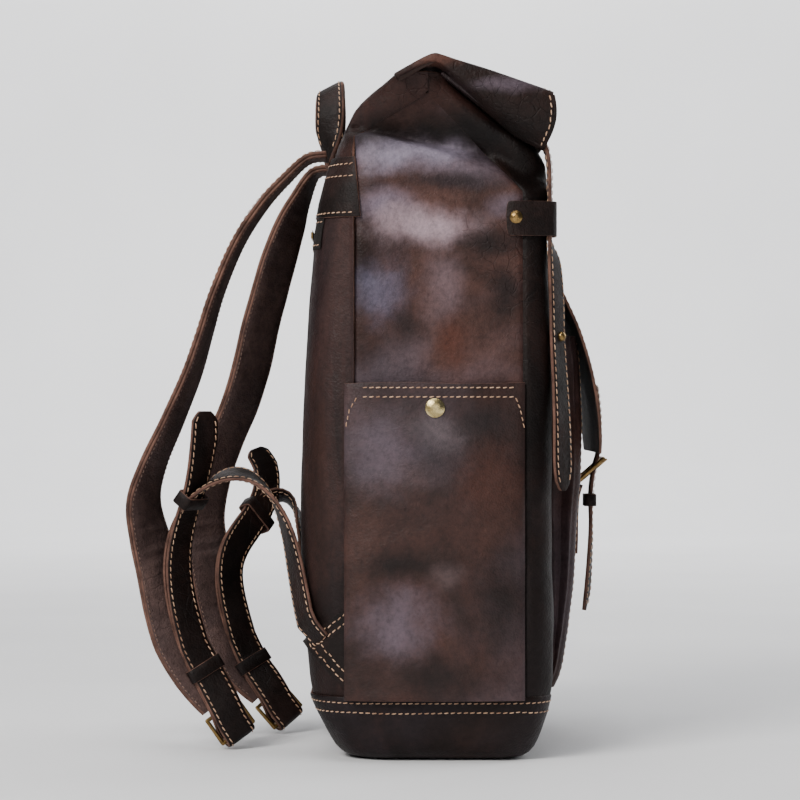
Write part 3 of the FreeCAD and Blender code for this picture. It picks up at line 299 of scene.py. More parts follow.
TAPE = cloth("zip_tape_cloth", rgb(16, 12, 11), rgb(34, 27, 25), 1500.0, sheen=0.02)
BOARD = cloth("fibre_board", rgb(70, 60, 48), rgb(104, 90, 72), 500.0)
SLOTS = {skin: "body_leather" for skin in (LEATHER, BACK_SHADED_LEATHER, BASE_SHADED_LEATHER, POCKET_LEATHER, FRONT_SHADED_LEATHER,
                                           ROLL_SHADED_LEATHER)}
SLOTS.update({STRAP_LEATHER: "strap_leather", STRAP_LINING: "strap_lining", LINING: "lining_fabric",
              TAPE: "zip_tape"})

# Outer face, cut edge and inner face of the usual sheets
BODY_SHEET = [LEATHER, EDGE, FLESH]
FRONT_SHEET = [FRONT_SHADED_LEATHER, EDGE, FLESH]
POCKET_SHEET = [POCKET_LEATHER, EDGE, FLESH]
STRAP_SHEET = [STRAP_LEATHER, EDGE, FLESH]
STRAP_PAIR = [STRAP_LEATHER, EDGE, STRAP_LINING]
BOTH_FACES = [STRAP_LEATHER, EDGE, STRAP_LEATHER]
CLOTH_SHEET = [LINING, LINING, LINING]
WALL, THIN = 0.0022, 0.0018     # thickness of the walls, and of pockets, tabs and base
SMALL_STITCH = {"pitch": 4.6, "length": 3.3}
POCKET_STITCH = {"pitch": 4.7, "length": 3.4}
LINING_STITCH = {"pitch": 3.6, "length": 2.3, "material": DARK_THREAD}
FORWARD, BACKWARD, UPWARD = Vector((0, -1, 0)), Vector((0, 1, 0)), Vector((0, 0, 1))
RAY_START, RAY_LENGTH = 0.03, 0.08      # rays that throw stitches onto a piece
STRAP_SKIN = 1.2                        # half the thickness of the thin straps, in millimetres


# ---- mesh helpers ---------------------------------------------------------------------------
def attach(obj, motion, nodes=()):
    """Give a finished piece its motion: parent it to one body's name; given two bodies and places instead,
    only bake it where it stands. Then hide the nodes that it stands for."""
    if isinstance(motion, str):
        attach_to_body(obj, motion)
    else:
        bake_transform(obj)
    if nodes:
        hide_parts(*nodes)
    return obj


def flipped(points):
    """The same points on the right side."""
    return [Vector((-p.x, p.y, p.z)) for p in points]


def full_row(half):
    """A row from edge to edge, given its left half from the edge to the middle."""
    return half + flipped(reversed(half[:-1]))


def spread_row(half):
    """A row from edge to edge, given its left half from the middle to the edge."""
    return list(reversed(half)) + flipped(half[1:])


def closed_row(half):
    """A row that goes all the way round, given its left half, which starts and ends in the middle."""
    return half + flipped(reversed(half[1:-1]))


def even(count):
    return [k / count for k in range(count + 1)]


def quads(rows, count, closed=True, first=0):
    """Faces between rows of points that follow each other in one list."""
    faces = []
    for i in range(rows - 1):
        low, high = first + i * count, first + (i + 1) * count
        for j in range(count if closed else count - 1):
            k = (j + 1) % count
            faces.append((low + j, low + k, high + k, high + j))
    return faces


def piece(name, points, faces, materials, indices=None):
    mesh = bpy.data.meshes.new(name)
    mesh.from_pydata([tuple(p) for p in points], [], faces)
    for material in materials:
        mesh.materials.append(material)
    if indices:
        mesh.polygons.foreach_set("material_index", indices)
    mesh.polygons.foreach_set("use_smooth", [True] * len(faces))
    mesh.update()
    obj = bpy.data.objects.new(name, mesh)
    bpy.context.scene.collection.objects.link(obj)
    return obj


def settle(obj):
    """Apply a piece's modifiers."""
    bpy.context.view_layer.update()
    graph = bpy.context.evaluated_depsgraph_get()
    mesh = bpy.data.meshes.new_from_object(obj.evaluated_get(graph))
    obj.modifiers.clear()
    obj.data = mesh
    return obj


def panel(name, rows, way, thick, materials, closed=False, round_to=0.0005, divide=0):
    """A sheet of leather from rows of points on its outer face, with its cut edges and inner face.
    way is roughly outwards: one direction, or a function of the point. materials are for the face, the cut
    edge and the inner face."""
    points = [p for row in rows for p in row]
    faces = quads(len(rows), len(rows[0]), closed)
    facing = 0.0
    for f in faces:
        a, b, c = (points[n] for n in f[:3])
        facing += (b - a).cross(c - a).dot(way(a) if callable(way) else way)
    if facing < 0:
        faces = [tuple(reversed(f)) for f in faces]
    obj = piece(name, points, faces, materials)
    if divide:
        soft = obj.modifiers.new("divide", "SUBSURF")
        soft.levels = soft.render_levels = divide
    solid = obj.modifiers.new("thickness", "SOLIDIFY")
    solid.thickness = thick
    solid.offset = -1.0
    solid.material_offset_rim = 1
    solid.material_offset = 2
    if round_to:
        bevel = obj.modifiers.new("rounding", "BEVEL")
        bevel.width = round_to
        bevel.segments = 2
        bevel.limit_method = "ANGLE"
        bevel.angle_limit = math.radians(55)
    return settle(obj)


def smooth_curve(p0, p1, p2, p3, u):
    return (p1 * 2 + (p2 - p0) * u + (p0 * 2 - p1 * 5 + p2 * 4 - p3) * (u * u)
            + (p1 * 3 - p0 - p2 * 3 + p3) * (u * u * u)) * 0.5


def along(stations, steps=6):
    """Points, tangents, width directions and widths along a strap. A station is a place, the direction of the
    strap's width and the width, in millimetres."""
    rows = [(mm(*p), Vector(a), w * MM) for p, a, w in stations]
    ends = [rows[0]] + rows + [rows[-1]]
    out = []
    for i in range(1, len(ends) - 2):
        for k in range(steps + 1 if i == len(ends) - 3 else steps):
            u = k / steps
            near = ends[i - 1:i + 3]
            out.append((smooth_curve(*[r[0] for r in near], u), smooth_curve(*[r[1] for r in near], u),
                        near[1][2] + (near[2][2] - near[1][2]) * u))
    frames = []
    for i, (point, across, width) in enumerate(out):
        tangent = (out[min(i + 1, len(out) - 1)][0] - out[max(i - 1, 0)][0]).normalized()
        across = (across - tangent * across.dot(tangent)).normalized()
        frames.append((point, tangent, across, width))
    return frames


def strap(name, frames, low, high, materials, crown=0.3, wave=0.25, edge=0.7, wrinkle=0.0):
    """A flat strap between two offsets along its normal, in millimetres, with rounded cut edges."""
    points = []
    low, high, edge = low * MM, high * MM, edge * MM
    for point, tangent, across, width in frames:
        normal = tangent.cross(across)
        half = width / 2 + wave * MM * noise.noise(point * 60)
        lift = normal * (0.5 * MM * noise.noise(point * 35 + Vector((7, 1, 3))))
        swell = crown * MM * (1 + wrinkle * (noise.noise(Vector((1, 2, point.z * 210))) - 0.3))
        under, over = low - swell, high + swell
        flat = half - edge
        section = [(-flat, low), (-half * 0.5, under), (0, under), (half * 0.5, under), (flat, low),
                   (half, low + edge), (half, high - edge),
                   (flat, high), (half * 0.5, over), (0, over), (-half * 0.5, over), (-flat, high),
                   (-half, high - edge), (-half, low + edge)]
        points += [point + across * a + normal * n + lift for a, n in section]
    count = len(section)
    faces = quads(len(frames), count)
    indices = ([0] * 4 + [1] * 3 + [2] * 4 + [1] * 3) * (len(frames) - 1) + [1, 1]
    faces.append(tuple(range(count))[::-1])
    faces.append(tuple(range(len(points) - count, len(points))))
    return piece(name, points, faces, materials, indices)


def strap_rows(frames, inset, level, facing=-1, start=0.0, end=1.0):
    """Rows of stitches near both edges of a strap's face."""
    rows = []
    for side in (-1, 1):
        row = []
        for i, (point, tangent, across, width) in enumerate(frames):
            if start <= i / (len(frames) - 1) <= end:
                normal = tangent.cross(across)
                place = point + across * (side * (width / 2 - inset * MM)) + normal * (level * MM)
                row.append((place, normal * facing))
        rows.append(row)
    return rows


def stitches(name, rows, motion, pitch=5.2, length=3.8, thick=0.44, slant=0.14, material=None):
    """Thread that goes in and out of the leather: one slim capsule for each stitch that shows."""
    points, faces = [], []
    ring = [(math.cos(a), math.sin(a)) for a in (0, 1.05, 2.09, 3.14, 4.19, 5.24)]
    # place along the stitch, its thickness there, and how far it stands out of the leather
    stages = ((-0.5, 0.35, -0.5), (-0.38, 0.85, 0.1), (-0.12, 1.0, 0.35), (0.12, 1.0, 0.35),
              (0.38, 0.85, 0.1), (0.5, 0.35, -0.5))
    for row in rows:
        if len(row) < 2:
            continue
        travelled = 0.5 * pitch * MM
        for (a, up_a), (b, up_b) in zip(row, row[1:]):
            run = (b - a).length
            if run < 1e-7:
                continue
            while travelled < run:
                u = travelled / run
                up = up_a.lerp(up_b, u).normalized()
                forward = (b - a).normalized()
                side = up.cross(forward).normalized()
                forward = (forward + side * slant).normalized()
                side = up.cross(forward).normalized()
                middle = a.lerp(b, u)
                wobble = 1 + 0.12 * noise.noise(middle * 900)
                first = len(points)
                for at, size, rise in stages:
                    centre = middle + forward * (at * length * MM * wobble) + up * (rise * thick * MM)
                    points += [centre + side * (x * size * thick * MM) + up * (y * size * 0.75 * thick * MM)
                               for x, y in ring]
                faces += quads(len(stages), 6, first=first)
                faces.append(tuple(range(first, first + 6))[::-1])
                faces.append(tuple(range(len(points) - 6, len(points))))
                travelled += pitch * MM
            travelled -= run
    return attach(piece(name, points, faces, [material or THREAD]), motion)


def pressed(obj, path, way, steps=40):
    """A row of stitches on a piece's surface: the path is thrown onto it against the way that it faces."""
    tree = BVHTree.FromObject(obj, bpy.context.evaluated_depsgraph_get())
    row = []
    for a, b in zip(path, path[1:]):
        for k in range(steps):
            at = a.lerp(b, k / steps)
            hit, normal, _, _ = tree.ray_cast(at + way * RAY_START, -way, RAY_LENGTH)
            if hit is not None:
                row.append((hit, normal if normal.dot(way) > 0 else -normal))
    return row


def settled(obj, places):
    """A row of stitches on a piece's surface, from rough places near it and the way that it faces at each."""
    tree = BVHTree.FromObject(obj, bpy.context.evaluated_depsgraph_get())
    row = []
    for place, away in places:
        hit, normal, _, _ = tree.find_nearest(place)
        row.append((hit, normal if normal.dot(away) > 0 else -normal))
    return row


def round_body(path, out=0.0):
    """Rough places for stitches that go round the body, six for each stretch of the path."""
    places = []
    for a, b in zip(path, path[1:]):
        away = Vector((a.x, a.y, 0)).normalized()
        places += [(a.lerp(b, u / 6) + away * out, away) for u in range(6)]
    return places


def outward(frames):
    """Which face of a strap on the front shows, the high one (1) or the low one (-1), and its materials."""
    if frames[3][1].cross(frames[3][2]).y > 0:
        return -1, STRAP_PAIR
    return 1, STRAP_PAIR[::-1]


def dress(name, material):
    """Give a part of the CAD model that stays in view its material."""
    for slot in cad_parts[name].material_slots:
        slot.link = "OBJECT"
        slot.material = material


KEEPER_ROUND, KEEPER_BEVEL = 2.2, 0.3       # in millimetres


def keeper(name, at, forward, across, width, height, thick, deep, motion, nodes):
    """A leather loop round straps, with its sizes in millimetres. It is centred on a place and the straps run
    through it forwards."""
    forward = forward.normalized()
    across = (across - forward * across.dot(forward)).normalized()
    normal = across.cross(forward)
    half_w, half_h = (width + thick) / 2 * MM, (height + thick) / 2 * MM
    corner = min(half_h, KEEPER_ROUND * MM)
    path = []
    for cx, cy, start in ((1, 1, 0), (-1, 1, 90), (-1, -1, 180), (1, -1, 270)):
        for a in (0, 30, 60, 90):
            t = math.radians(start + a)
            path.append((cx * (half_w - corner) + corner * math.cos(t),
                         cy * (half_h - corner) + corner * math.sin(t)))
    points, faces, indices = [], [], []
    t, d, e = thick / 2 * MM, deep / 2 * MM, KEEPER_BEVEL * MM
    for i, (x, y) in enumerate(path):
        nx, ny = path[(i + 1) % 16][1] - path[i - 1][1], path[i - 1][0] - path[(i + 1) % 16][0]
        size = math.hypot(nx, ny)
        nx, ny = nx / size, ny / size
        for out, f in ((t, -d + e), (t, d - e), (t - e, d), (-t, d), (-t, -d), (t - e, -d)):
            points.append(at + across * (x + nx * out) + normal * (y + ny * out) + forward * f)
    for i in range(16):
        j = (i + 1) % 16
        for k in range(6):
            m = (k + 1) % 6
            faces.append((i * 6 + k, j * 6 + k, j * 6 + m, i * 6 + m))
            indices.append((0, 1, 1, 2, 1, 1)[k])
    return attach(piece(name, points, faces, STRAP_PAIR, indices), motion, nodes)


# ---- body -----------------------------------------------------------------------------------
# Height, front face, back face and half width, in millimetres
BODY = (
    (2, -68, 66, 134), (45, -82, 88, 142), (100, -84, 94, 143),
    (200, -84, 94.5, 143), (300, -82, 91, 143), (380, -79.5, 84.5, 142),
    (405, -80.3, 78.5, 140.5), (420, -80, 74, 139.5), (433, -75, 69.5, 138.5),
    (446, -55, 64, 138.5), (460, -35, 58, 139.5), (472, -20, 51, 141),
    (485, -7, 25, 143.5), (489, -4, 16, 144))
ROUND_FRONT, ROUND_BACK = 0.022, 0.034      # radius of the body's corners
SEAM_FRONT, SEAM_BACK = -0.062, 0.057
SEAM_FRONT_TOP, SEAM_BACK_TOP, SEAM_PEAK = 0.402, 0.442, (0.005, 0.472)
SEAM_DEPTH = 0.0016
# The base covers the walls below their foot, and the rows lie closer above the waist, where they fold
SKIN_FOOT, WAIST, GUSSET_TOP, WALL_TOP = 0.037, 0.397, 0.4715, 0.4858


def table(rows, at, column):
    """Value of a column at a place between rows, which are sorted by their first value."""
    for low, high in zip(rows, rows[1:]):
        if at <= high[0]:
            part = max(0.0, (at - low[0]) / (high[0] - low[0]))
            return low[column] + part * (high[column] - low[column])
    return rows[-1][column]


def body(z, column):
    """Front face, back face or half width of the body at a height, eased between the rows."""
    return sum(table(BODY, z / MM + d, column) for d in (-11, -5, 0, 5, 11)) / 5 * MM


def step(value, low, high):
    """0 below the low value and 1 above the high one, with a smooth change between them."""
    t = min(1.0, max(0.0, (value - low) / (high - low)))
    return t * t * (3 - 2 * t)


def outline(z, out=0.0):
    """Left half of the body's outline at a height, from the middle of the front to the middle of the back."""
    front, back, half = body(z, 1) - out, body(z, 2) + out, body(z, 3) + out
    room = (back - front) / 2 - 0.0005
    r_front, r_back = min(ROUND_FRONT + out, room), min(ROUND_BACK + out, room)
    path = [(-(half - r_front) * k / 8, front) for k in range(8)]
    path += [(-(half - r_front) - r_front * math.sin(a), front + r_front - r_front * math.cos(a))
             for a in (math.pi / 2 * k / 8 for k in range(9))]
    path += [(-half, front + r_front + (back - r_back - front - r_front) * k / 12) for k in range(1, 12)]
    path += [(-(half - r_back) - r_back * math.cos(a), back - r_back + r_back * math.sin(a))
             for a in (math.pi / 2 * k / 8 for k in range(9))]
    path += [(-(half - r_back) * k / 8, back) for k in range(7, -1, -1)]
    return path


def seam(z, which):
    """Y of a side seam at a height."""
    base, top = (SEAM_FRONT, SEAM_FRONT_TOP) if which == "front" else (SEAM_BACK, SEAM_BACK_TOP)
    if z <= top:
        return base
    return base + (SEAM_PEAK[0] - base) * min(1.0, (z - top) / (SEAM_PEAK[1] - top))


def cut(path, y0, y1):
    """The stretch of an outline between two values of Y, which grow along it."""
    out = []
    for a, b in zip(path, path[1:]):
        for y in (y0, y1):
            if a[1] < y < b[1]:
                u = (y - a[1]) / (b[1] - a[1])
                out.append((a[0] + (b[0] - a[0]) * u, y))
        if y0 <= b[1] <= y1:
            out.append(b)
    if y0 <= path[0][1]:
        out.insert(0, path[0])
    return out


def resample(path, places):
    """Points at given shares of a path's length."""
    sizes = [0.0]
    for a, b in zip(path, path[1:]):
        sizes.append(sizes[-1] + math.hypot(b[0] - a[0], b[1] - a[1]))
    out, i = [], 0
    for share in places:
        want = share * sizes[-1]
        while i < len(sizes) - 2 and sizes[i + 1] < want:
            i += 1
        run = sizes[i + 1] - sizes[i]
        u = (want - sizes[i]) / run if run else 0.0
        (ax, ay), (bx, by) = path[i], path[i + 1]
        out.append((ax + (bx - ax) * u, ay + (by - ay) * u))
    return out


def shares(count, near=0.006):
    """Places along an edge, closer together next to its two ends."""
    inner = [near * k for k in (0, 0.2, 0.5, 1.0)]
    middle = [near + (1 - 2 * near) * k / count for k in range(1, count)]
    return inner + middle + [1 - v for v in reversed(inner)]


FOLD_LINE = ((-0.070, 0.398), (-0.0595, 0.402), (-0.0455, 0.4125), (0.0, 0.430), (0.030, 0.438),
             (0.056, 0.4425), (0.080, 0.444))      # place and height of the lip under the fold, on the side


def roof_edge(y):
    """Height of the roof's edge above a place on the side."""
    rows = [(r[2] if y > 0.003 else -r[1], r[0]) for r in BODY[6:]]
    return table(sorted(rows), abs(y) / MM, 1) * MM


def hollow(y, z):
    """How far the side wall is drawn in where the roll top folds it."""
    lip = table(FOLD_LINE, y, 1)
    top = roof_edge(y) + 0.004
    if z <= lip or top - lip < 0.004:
        return 0.0
    t = min(1.0, (z - lip) / (top - lip))
    sharp = 0.006 + 0.012 * step(-y, -0.02, 0.06)
    return 0.021 * step(z - lip, 0.0, sharp) * (1 - t) ** 0.9 * step(0.074 - y, 0.0, 0.016)


def relax(p, out):
    """Soft unevenness of a leather wall, given its outward direction."""
    p = Vector(p)
    low = 0.0017 * noise.noise(p * 9.0) + 0.0008 * noise.noise(p * 26.0 + Vector((3, 8, 1)))
    crease = noise.noise(Vector((p.x * 16, p.y * 16, p.z * 130)))
    band = math.exp(-((p.z - 0.383) / 0.016) ** 2) + 0.6 * math.exp(-((p.z - 0.43) / 0.012) ** 2)
    return p + out * (low + 0.0008 * band * crease)


def wall(z, path, side, turned=(0, 0)):
    """Points of one row of a body panel, with the ends turned in at its seams."""
    row = []
    for i, (x, y) in enumerate(path):
        a, b = path[max(i - 1, 0)], path[min(i + 1, len(path) - 1)]
        out = Vector((b[1] - a[1], -(b[0] - a[0]), 0))
        out = -out.normalized() if out.length else Vector((-1, 0, 0))
        x += hollow(y, z) * step(-x, 0.105, 0.13)
        p = relax((x, y, z), out)
        for end, depth in zip((path[0], path[-1]), turned):
            gap = math.hypot(path[i][0] - end[0], path[i][1] - end[1])
            p -= out * (depth * (1 - step(z, 0.428, 0.445)) * math.exp(-(gap / 0.0017) ** 2))
        row.append(p)
    return [Vector((-side * p.x, p.y, p.z)) for p in row]


def heights(low, high, pitch=0.006):
    """Heights from the low one to the high one, about a pitch apart."""
    return [low + (high - low) * share for share in even(max(2, int((high - low) / pitch)))]


def body_skin():
    """The gussets, then the front and back walls, turned in at the seams between them."""
    for side, word in SIDES:
        rows = []
        for z in heights(SKIN_FOOT, WAIST - 0.001, 0.0045) + heights(WAIST + 0.001, GUSSET_TOP, 0.0016):
            path = cut(outline(z), seam(z, "front"), seam(z, "back"))
            rows.append(wall(z, resample(path, shares(34, 0.03)), side, (SEAM_DEPTH, SEAM_DEPTH)))
        obj = panel("gusset_skin_" + word, rows, lambda p: Vector((p.x, 0, 0)), WALL, BODY_SHEET)
        attach(obj, "bag", ["gusset_" + word])
    near_seam = [k / 46 for k in range(46)] + [0.988, 0.994, 0.998, 1.0]
    for which, way, face in (("front", FORWARD, FRONT_SHADED_LEATHER), ("back", BACKWARD, BACK_SHADED_LEATHER)):
        rows = []
        for z in heights(SKIN_FOOT, WAIST - 0.001, 0.0055) + heights(WAIST + 0.001, WALL_TOP, 0.0024):
            y = seam(z, which)
            half = cut(outline(z), -1, y) if which == "front" else list(reversed(cut(outline(z), y, 1)))
            rows.append(spread_row(wall(z, resample(half, near_seam), LEFT, (0, SEAM_DEPTH))))
        obj = panel(which + "_skin", rows, way, WALL, [face, EDGE, FLESH])
        attach(obj, "bag", [which + "_panel"])


def base_skin():
    """The base: a tray of leather with a raw top edge, pinched at its corners, and two rows of stitches."""
    levels = ((0.0465, 0.0012), (0.045, 0.0021), (0.040, 0.0021), (0.034, 0.0022), (0.027, 0.0023),
              (0.020, 0.0024), (0.014, 0.0021), (0.009, 0.0010), (0.005, -0.0014), (0.0022, -0.0055),
              (0.0008, -0.012))
    rows = []
    for z, out in levels:
        half = []
        for x, y in resample(outline(max(z, 0.002), out), even(80)):
            depth = 0.046 - z
            pinch = math.exp(-((y - 0.052) / 0.010) ** 2) * step(depth, 0.004, 0.030)
            pinch += 0.7 * math.exp(-((y + 0.060) / 0.006) ** 2) * step(depth, 0.002, 0.02)
            p = Vector((x + 0.0035 * pinch * step(-x, 0.12, 0.136), y, z))
            soft = 0.0012 * noise.noise(p * 22) if z < 0.04 else 0.0
            half.append(p + Vector((x, y, 0)).normalized() * soft)
        rows.append(closed_row(half))
    foot = rows[-1]
    for share in (0.8, 0.5, 0.2, 0.02):
        rows.append([Vector((p.x * share, p.y * share, 0.0006)) for p in foot])
    obj = panel("base_skin", rows, lambda p: Vector((p.x, p.y, -0.01)), THIN, [BASE_SHADED_LEATHER, EDGE, FLESH],
                closed=True)
    attach(obj, "bag", ["base_panel"])
    for k, z in enumerate((0.0415, 0.0345)):
        loop = full_row([Vector((x, y, z)) for x, y in outline(z, 0.0021)])
        stitches(f"base_thread_{k}", [settled(obj, round_body(loop, 0.002))], "bag", **SMALL_STITCH)


# ---- roll top -------------------------------------------------------------------------------
TOP_LINE = ((0.0288, 0.4846), (0.0172, 0.4912), (0.0066, 0.4968), (0.0002, 0.4990), (-0.0055, 0.4980),
            (-0.0120, 0.4960), (-0.0300, 0.4903), (-0.0500, 0.4835), (-0.0700, 0.4765), (-0.0835, 0.4715))
CREASE = ((0.0245, 0.4800), (0.0135, 0.4860), (0.0045, 0.4895), (-0.0010, 0.4898), (-0.0062, 0.4868),
          (-0.0125, 0.4800), (-0.0270, 0.4655), (-0.0430, 0.4520), (-0.0590, 0.4395), (-0.0765, 0.4300))
ROLL_HALF, ROLL_ROUND, ROLL_THICK, HEM_BULGE = 0.1462, 0.006, 0.0023, 0.0050
BULGE = ((0.0, 0.0), (0.55, 0.0), (1.0, HEM_BULGE))


def curve_at(line, share):
    at = share * (len(line) - 1)
    i = min(int(at), len(line) - 2)
    ends = [line[max(i - 1, 0)], line[i], line[i + 1], line[min(i + 2, len(line) - 1)]]
    return smooth_curve(*[Vector((0, p[0], p[1])) for p in ends], at - i)


def roll_section(share):
    """One rib of the roll top, from one side's crease over the top to the other side's crease."""
    top, low = curve_at(TOP_LINE, share), curve_at(CREASE, share)
    wide = ROLL_HALF - 0.0026 * (1 - step(share, 0.0, 0.3))
    rib = []
    for k in range(14):
        v = 1 - k / 14
        p = top + (low - top) * v
        swell = math.sin(math.pi * v)
        p.x = -wide - 0.0018 * swell + 0.012 * (max(0.0, v - 0.66) / 0.34) ** 2
        p.y -= table(BULGE, share, 1) * swell
        rib.append(p)
    across = (top - low).normalized()
    for t in (math.radians(a) for a in (10, 30, 50, 70)):
        rib.append(top + Vector((ROLL_ROUND * (1 - math.cos(t)) - wide, 0, 0))
                   - across * (ROLL_ROUND * (1 - math.sin(t))))
    for k in range(31):
        x = (-1 + k / 30) * (wide - ROLL_ROUND)
        dip = 0.0022 * math.sin(math.pi * step(share, 0.4, 1.0)) * (1 - (x / ROLL_HALF) ** 2)
        rib.append(top + Vector((x, 0, -dip)))
    return full_row([p + Vector((-0.0014 * noise.noise(p * 30) * step(-p.x, 0.12, 0.14), 0,
                                 0.0009 * noise.noise(p * 24))) for p in rib])


def roll_top():
    rows = [roll_section(k / 60) for k in range(60)] + [roll_section(s) for s in (0.99, 1.0)]
    motion = ("bag", "roll_top", (0, -0.032, 0.4573), (0, -0.0464, 0.4681))
    sheet = [ROLL_SHADED_LEATHER, ROLL_SHADED_LEATHER, FLESH]
    outer = panel("roll_outer", rows, Vector((0, -0.3, 1)), ROLL_THICK, sheet)
    attach(outer, motion, ["flap_outer", "flap_ends", "flap_hem"])
    inner = []
    for v in even(16):
        y, z = -0.004 - 0.0715 * v, 0.4845 - 0.0525 * v
        inner.append([])
        for j in range(41):
            x = (-1 + j / 20) * 0.1385
            soft = 0.0010 * noise.noise(Vector((x / 0.1385 * 3, y * 20, z * 20)))
            inner[-1].append(Vector((x, y, z - 0.0012 * math.sin(math.pi * v) + soft)))
    attach(panel("roll_inner", inner, Vector((0, -0.3, -1)), ROLL_THICK, sheet), "roll_top", ["flap_inner"])
    rows = []
    hem, fold = curve_at(TOP_LINE, 1.0), curve_at(CREASE, 1.0)
    for inset in (0.0026, 0.0062):
        path = [Vector((x / 24 * (ROLL_HALF - 0.004), hem.y + inset, 0.473 + inset * 0.33))
                for x in range(-24, 25)]
        rows.append(pressed(outer, path, UPWARD, 6))
    inset = 0.0036
    for side in (LEFT, RIGHT):
        path = []
        for v in (0.06, 0.3, 0.6, 0.95):
            p = hem.lerp(fold, v)
            bulge = HEM_BULGE * math.sin(math.pi * v)
            path.append(Vector((side * 0.150, p.y - bulge + inset, p.z + inset * 0.1)))
        rows.append(pressed(outer, path, Vector((side, 0, 0)), 20))
    stitches("roll_thread", rows, motion)


# ---- closures -------------------------------------------------------------------------------
CLOSURE = (
    ((-126, -77.5, 438), (1, 0, 0), 20), ((-126, -80.8, 424), (1, 0, 0), 20),
    ((-126, -81.6, 410), (1, 0, 0), 20), ((-126, -81.4, 396), (1, 0, 0), 20),
    ((-126, -81.3, 370), (1, -0.05, 0), 20),
    ((-127, -84.8, 352), (0.9, -0.42, 0), 20), ((-127.5, -86.4, 326), (0.85, -0.52, 0), 20),
    ((-127, -87, 300), (0.85, -0.52, 0), 20), ((-128.5, -88.6, 270), (0.82, -0.56, 0), 20),
    ((-131, -90, 240), (0.78, -0.62, 0), 20), ((-132.5, -90.6, 212), (0.75, -0.66, 0), 20),
    ((-133, -90.6, 203), (0.75, -0.66, 0), 18.6), ((-133, -90.5, 196), (0.75, -0.66, 0), 14.5),
    ((-133, -90.4, 191), (0.75, -0.66, 0), 6))


def mirror(frames):
    """The same strap on the right side."""
    flip = Vector((-1, 1, 1))
    return [(p * flip, t * flip, -(a * flip), w) for p, t, a, w in frames]


def closures():
    for side, word in SIDES:
        frames = along(CLOSURE)
        if side == RIGHT:
            frames = mirror(frames)
        facing, faces = outward(frames)
        motion = ("roll_top", "closure_" + word, (0, -0.079, 0.431), (0, -0.081, 0.410))
        obj = strap("closure_leather_" + word, frames, -STRAP_SKIN, STRAP_SKIN, faces)
        attach(obj, motion, ["closure_strap_" + word])
        rows = strap_rows(frames, 2.6, 1.5 * facing, facing, 0.02, 0.93)
        rows += strap_rows(frames, 2.6, -1.5 * facing, -facing, 0.02, 0.93)
        stitches("closure_thread_" + word, rows, motion)
        tab(side, word)


def tab(side, word):
    """The leather loop that holds a closure strap, riveted to the side and to the front."""
    plan = ((-144.5, -56.0), (-144.3, -62.0), (-142.4, -69.5), (-138.6, -81.0), (-136.0, -85.6),
            (-130.0, -86.6), (-122.0, -86.6), (-115.0, -86.2), (-111.5, -83.6), (-106.0, -82.2))
    rows = []
    for k in range(9):
        rounded = 1.5 * (abs(k - 4) / 4) ** 3
        path = [(-144.1, -50.0 - rounded), *plan, (-94.0 - rounded, -82.2)]
        rows.append([mm(side * -x, y, 370.5 + 24.5 * k / 8) for x, y in path])
    obj = panel("tab_" + word, rows, lambda p: Vector((p.x * 0.3, -1, 0)), THIN, STRAP_SHEET, divide=2)
    attach(obj, "bag", ["keeper_tab_" + word])


# ---- side pockets ---------------------------------------------------------------------------
POCKET_EDGE, POCKET_BOW = 0.1470, 0.0073        # place of a pocket's sewn edges, and how far it stands out


def pocket_x(y, z):
    """Outer face of a side pocket, on the left side."""
    u = (y - 0.0005) / 0.0635
    bow = POCKET_BOW * max(0.0, 1 - u * u) * (0.75 + 0.25 * step(z, 0.05, 0.2))
    p = Vector((0.0, y, z))
    soft = 0.0018 * noise.noise(p * 14 + Vector((5, 0, 0))) + 0.0006 * noise.noise(p * 45)
    fade = min(1.0, max(0.0, (0.0645 - abs(y)) / 0.010))
    return -(POCKET_EDGE + bow + soft * fade)


def half_of(obj, name, keep):
    """A copy of a sheet with only the faces whose middle passes a test."""
    mesh = obj.data.copy()
    work = bmesh.new()
    work.from_mesh(mesh)
    gone = [f for f in work.faces if not keep(f.calc_center_median())]
    bmesh.ops.delete(work, geom=gone, context="FACES")
    work.to_mesh(mesh)
    work.free()
    made = bpy.data.objects.new(name, mesh)
    bpy.context.scene.collection.objects.link(made)
    return made


def side_pockets():
    low, high, front, back = 0.044, 0.267, -0.0635, 0.0640
    columns = [front * (1 - k / 24) for k in range(24)] + [back * k / 24 for k in range(25)]
    for side, word in SIDES:
        rows = []
        for z in heights(low, high, 0.0045):
            row = []
            for y in columns:
                edge = min(abs(y - front), abs(y - back))
                rise = 0.0006 * math.sin(3.0 * y / 0.05) if z > high - 0.0046 else 0.0
                x = pocket_x(y, z) + 0.0016 * math.exp(-(edge / 0.0022) ** 2)
                row.append(Vector((side * -x, y, z + rise)))
            rows.append(row)
        whole = panel("pocket_" + word, rows, lambda p: Vector((p.x, 0, 0)), THIN, POCKET_SHEET)
        for part, sign, seam_y, hem in (("front", -1, front, -0.0565), ("back", 1, back, 0.0545)):
            motion = ("bag", "side_pocket_" + word, (0, seam_y * 0.95, 0.15), (0, 0, 0.15))
            obj = half_of(whole, f"pocket_{part}_{word}", lambda c, s=sign: c.y * s > 0)
            nodes = ["side_pocket_" + word, "pocket_hem_" + word] if part == "front" else []
            attach(obj, motion, nodes)
            way, x = Vector((side, 0, 0)), side * 0.156
            slope = [Vector((x, y, z))
                     for y, z in ((hem, 0.2572), (sign * 0.0600, 0.2480), (sign * 0.0625, 0.2360))]
            rows = [pressed(obj, [Vector((x, 0, z)), Vector((x, hem, z))], way, 60) for z in (0.2637, 0.2572)]
            rows.append(pressed(obj, slope, way, 20))
            stitches(f"pocket_thread_{part}_{word}", rows, motion, **POCKET_STITCH)
        bpy.data.objects.remove(whole)


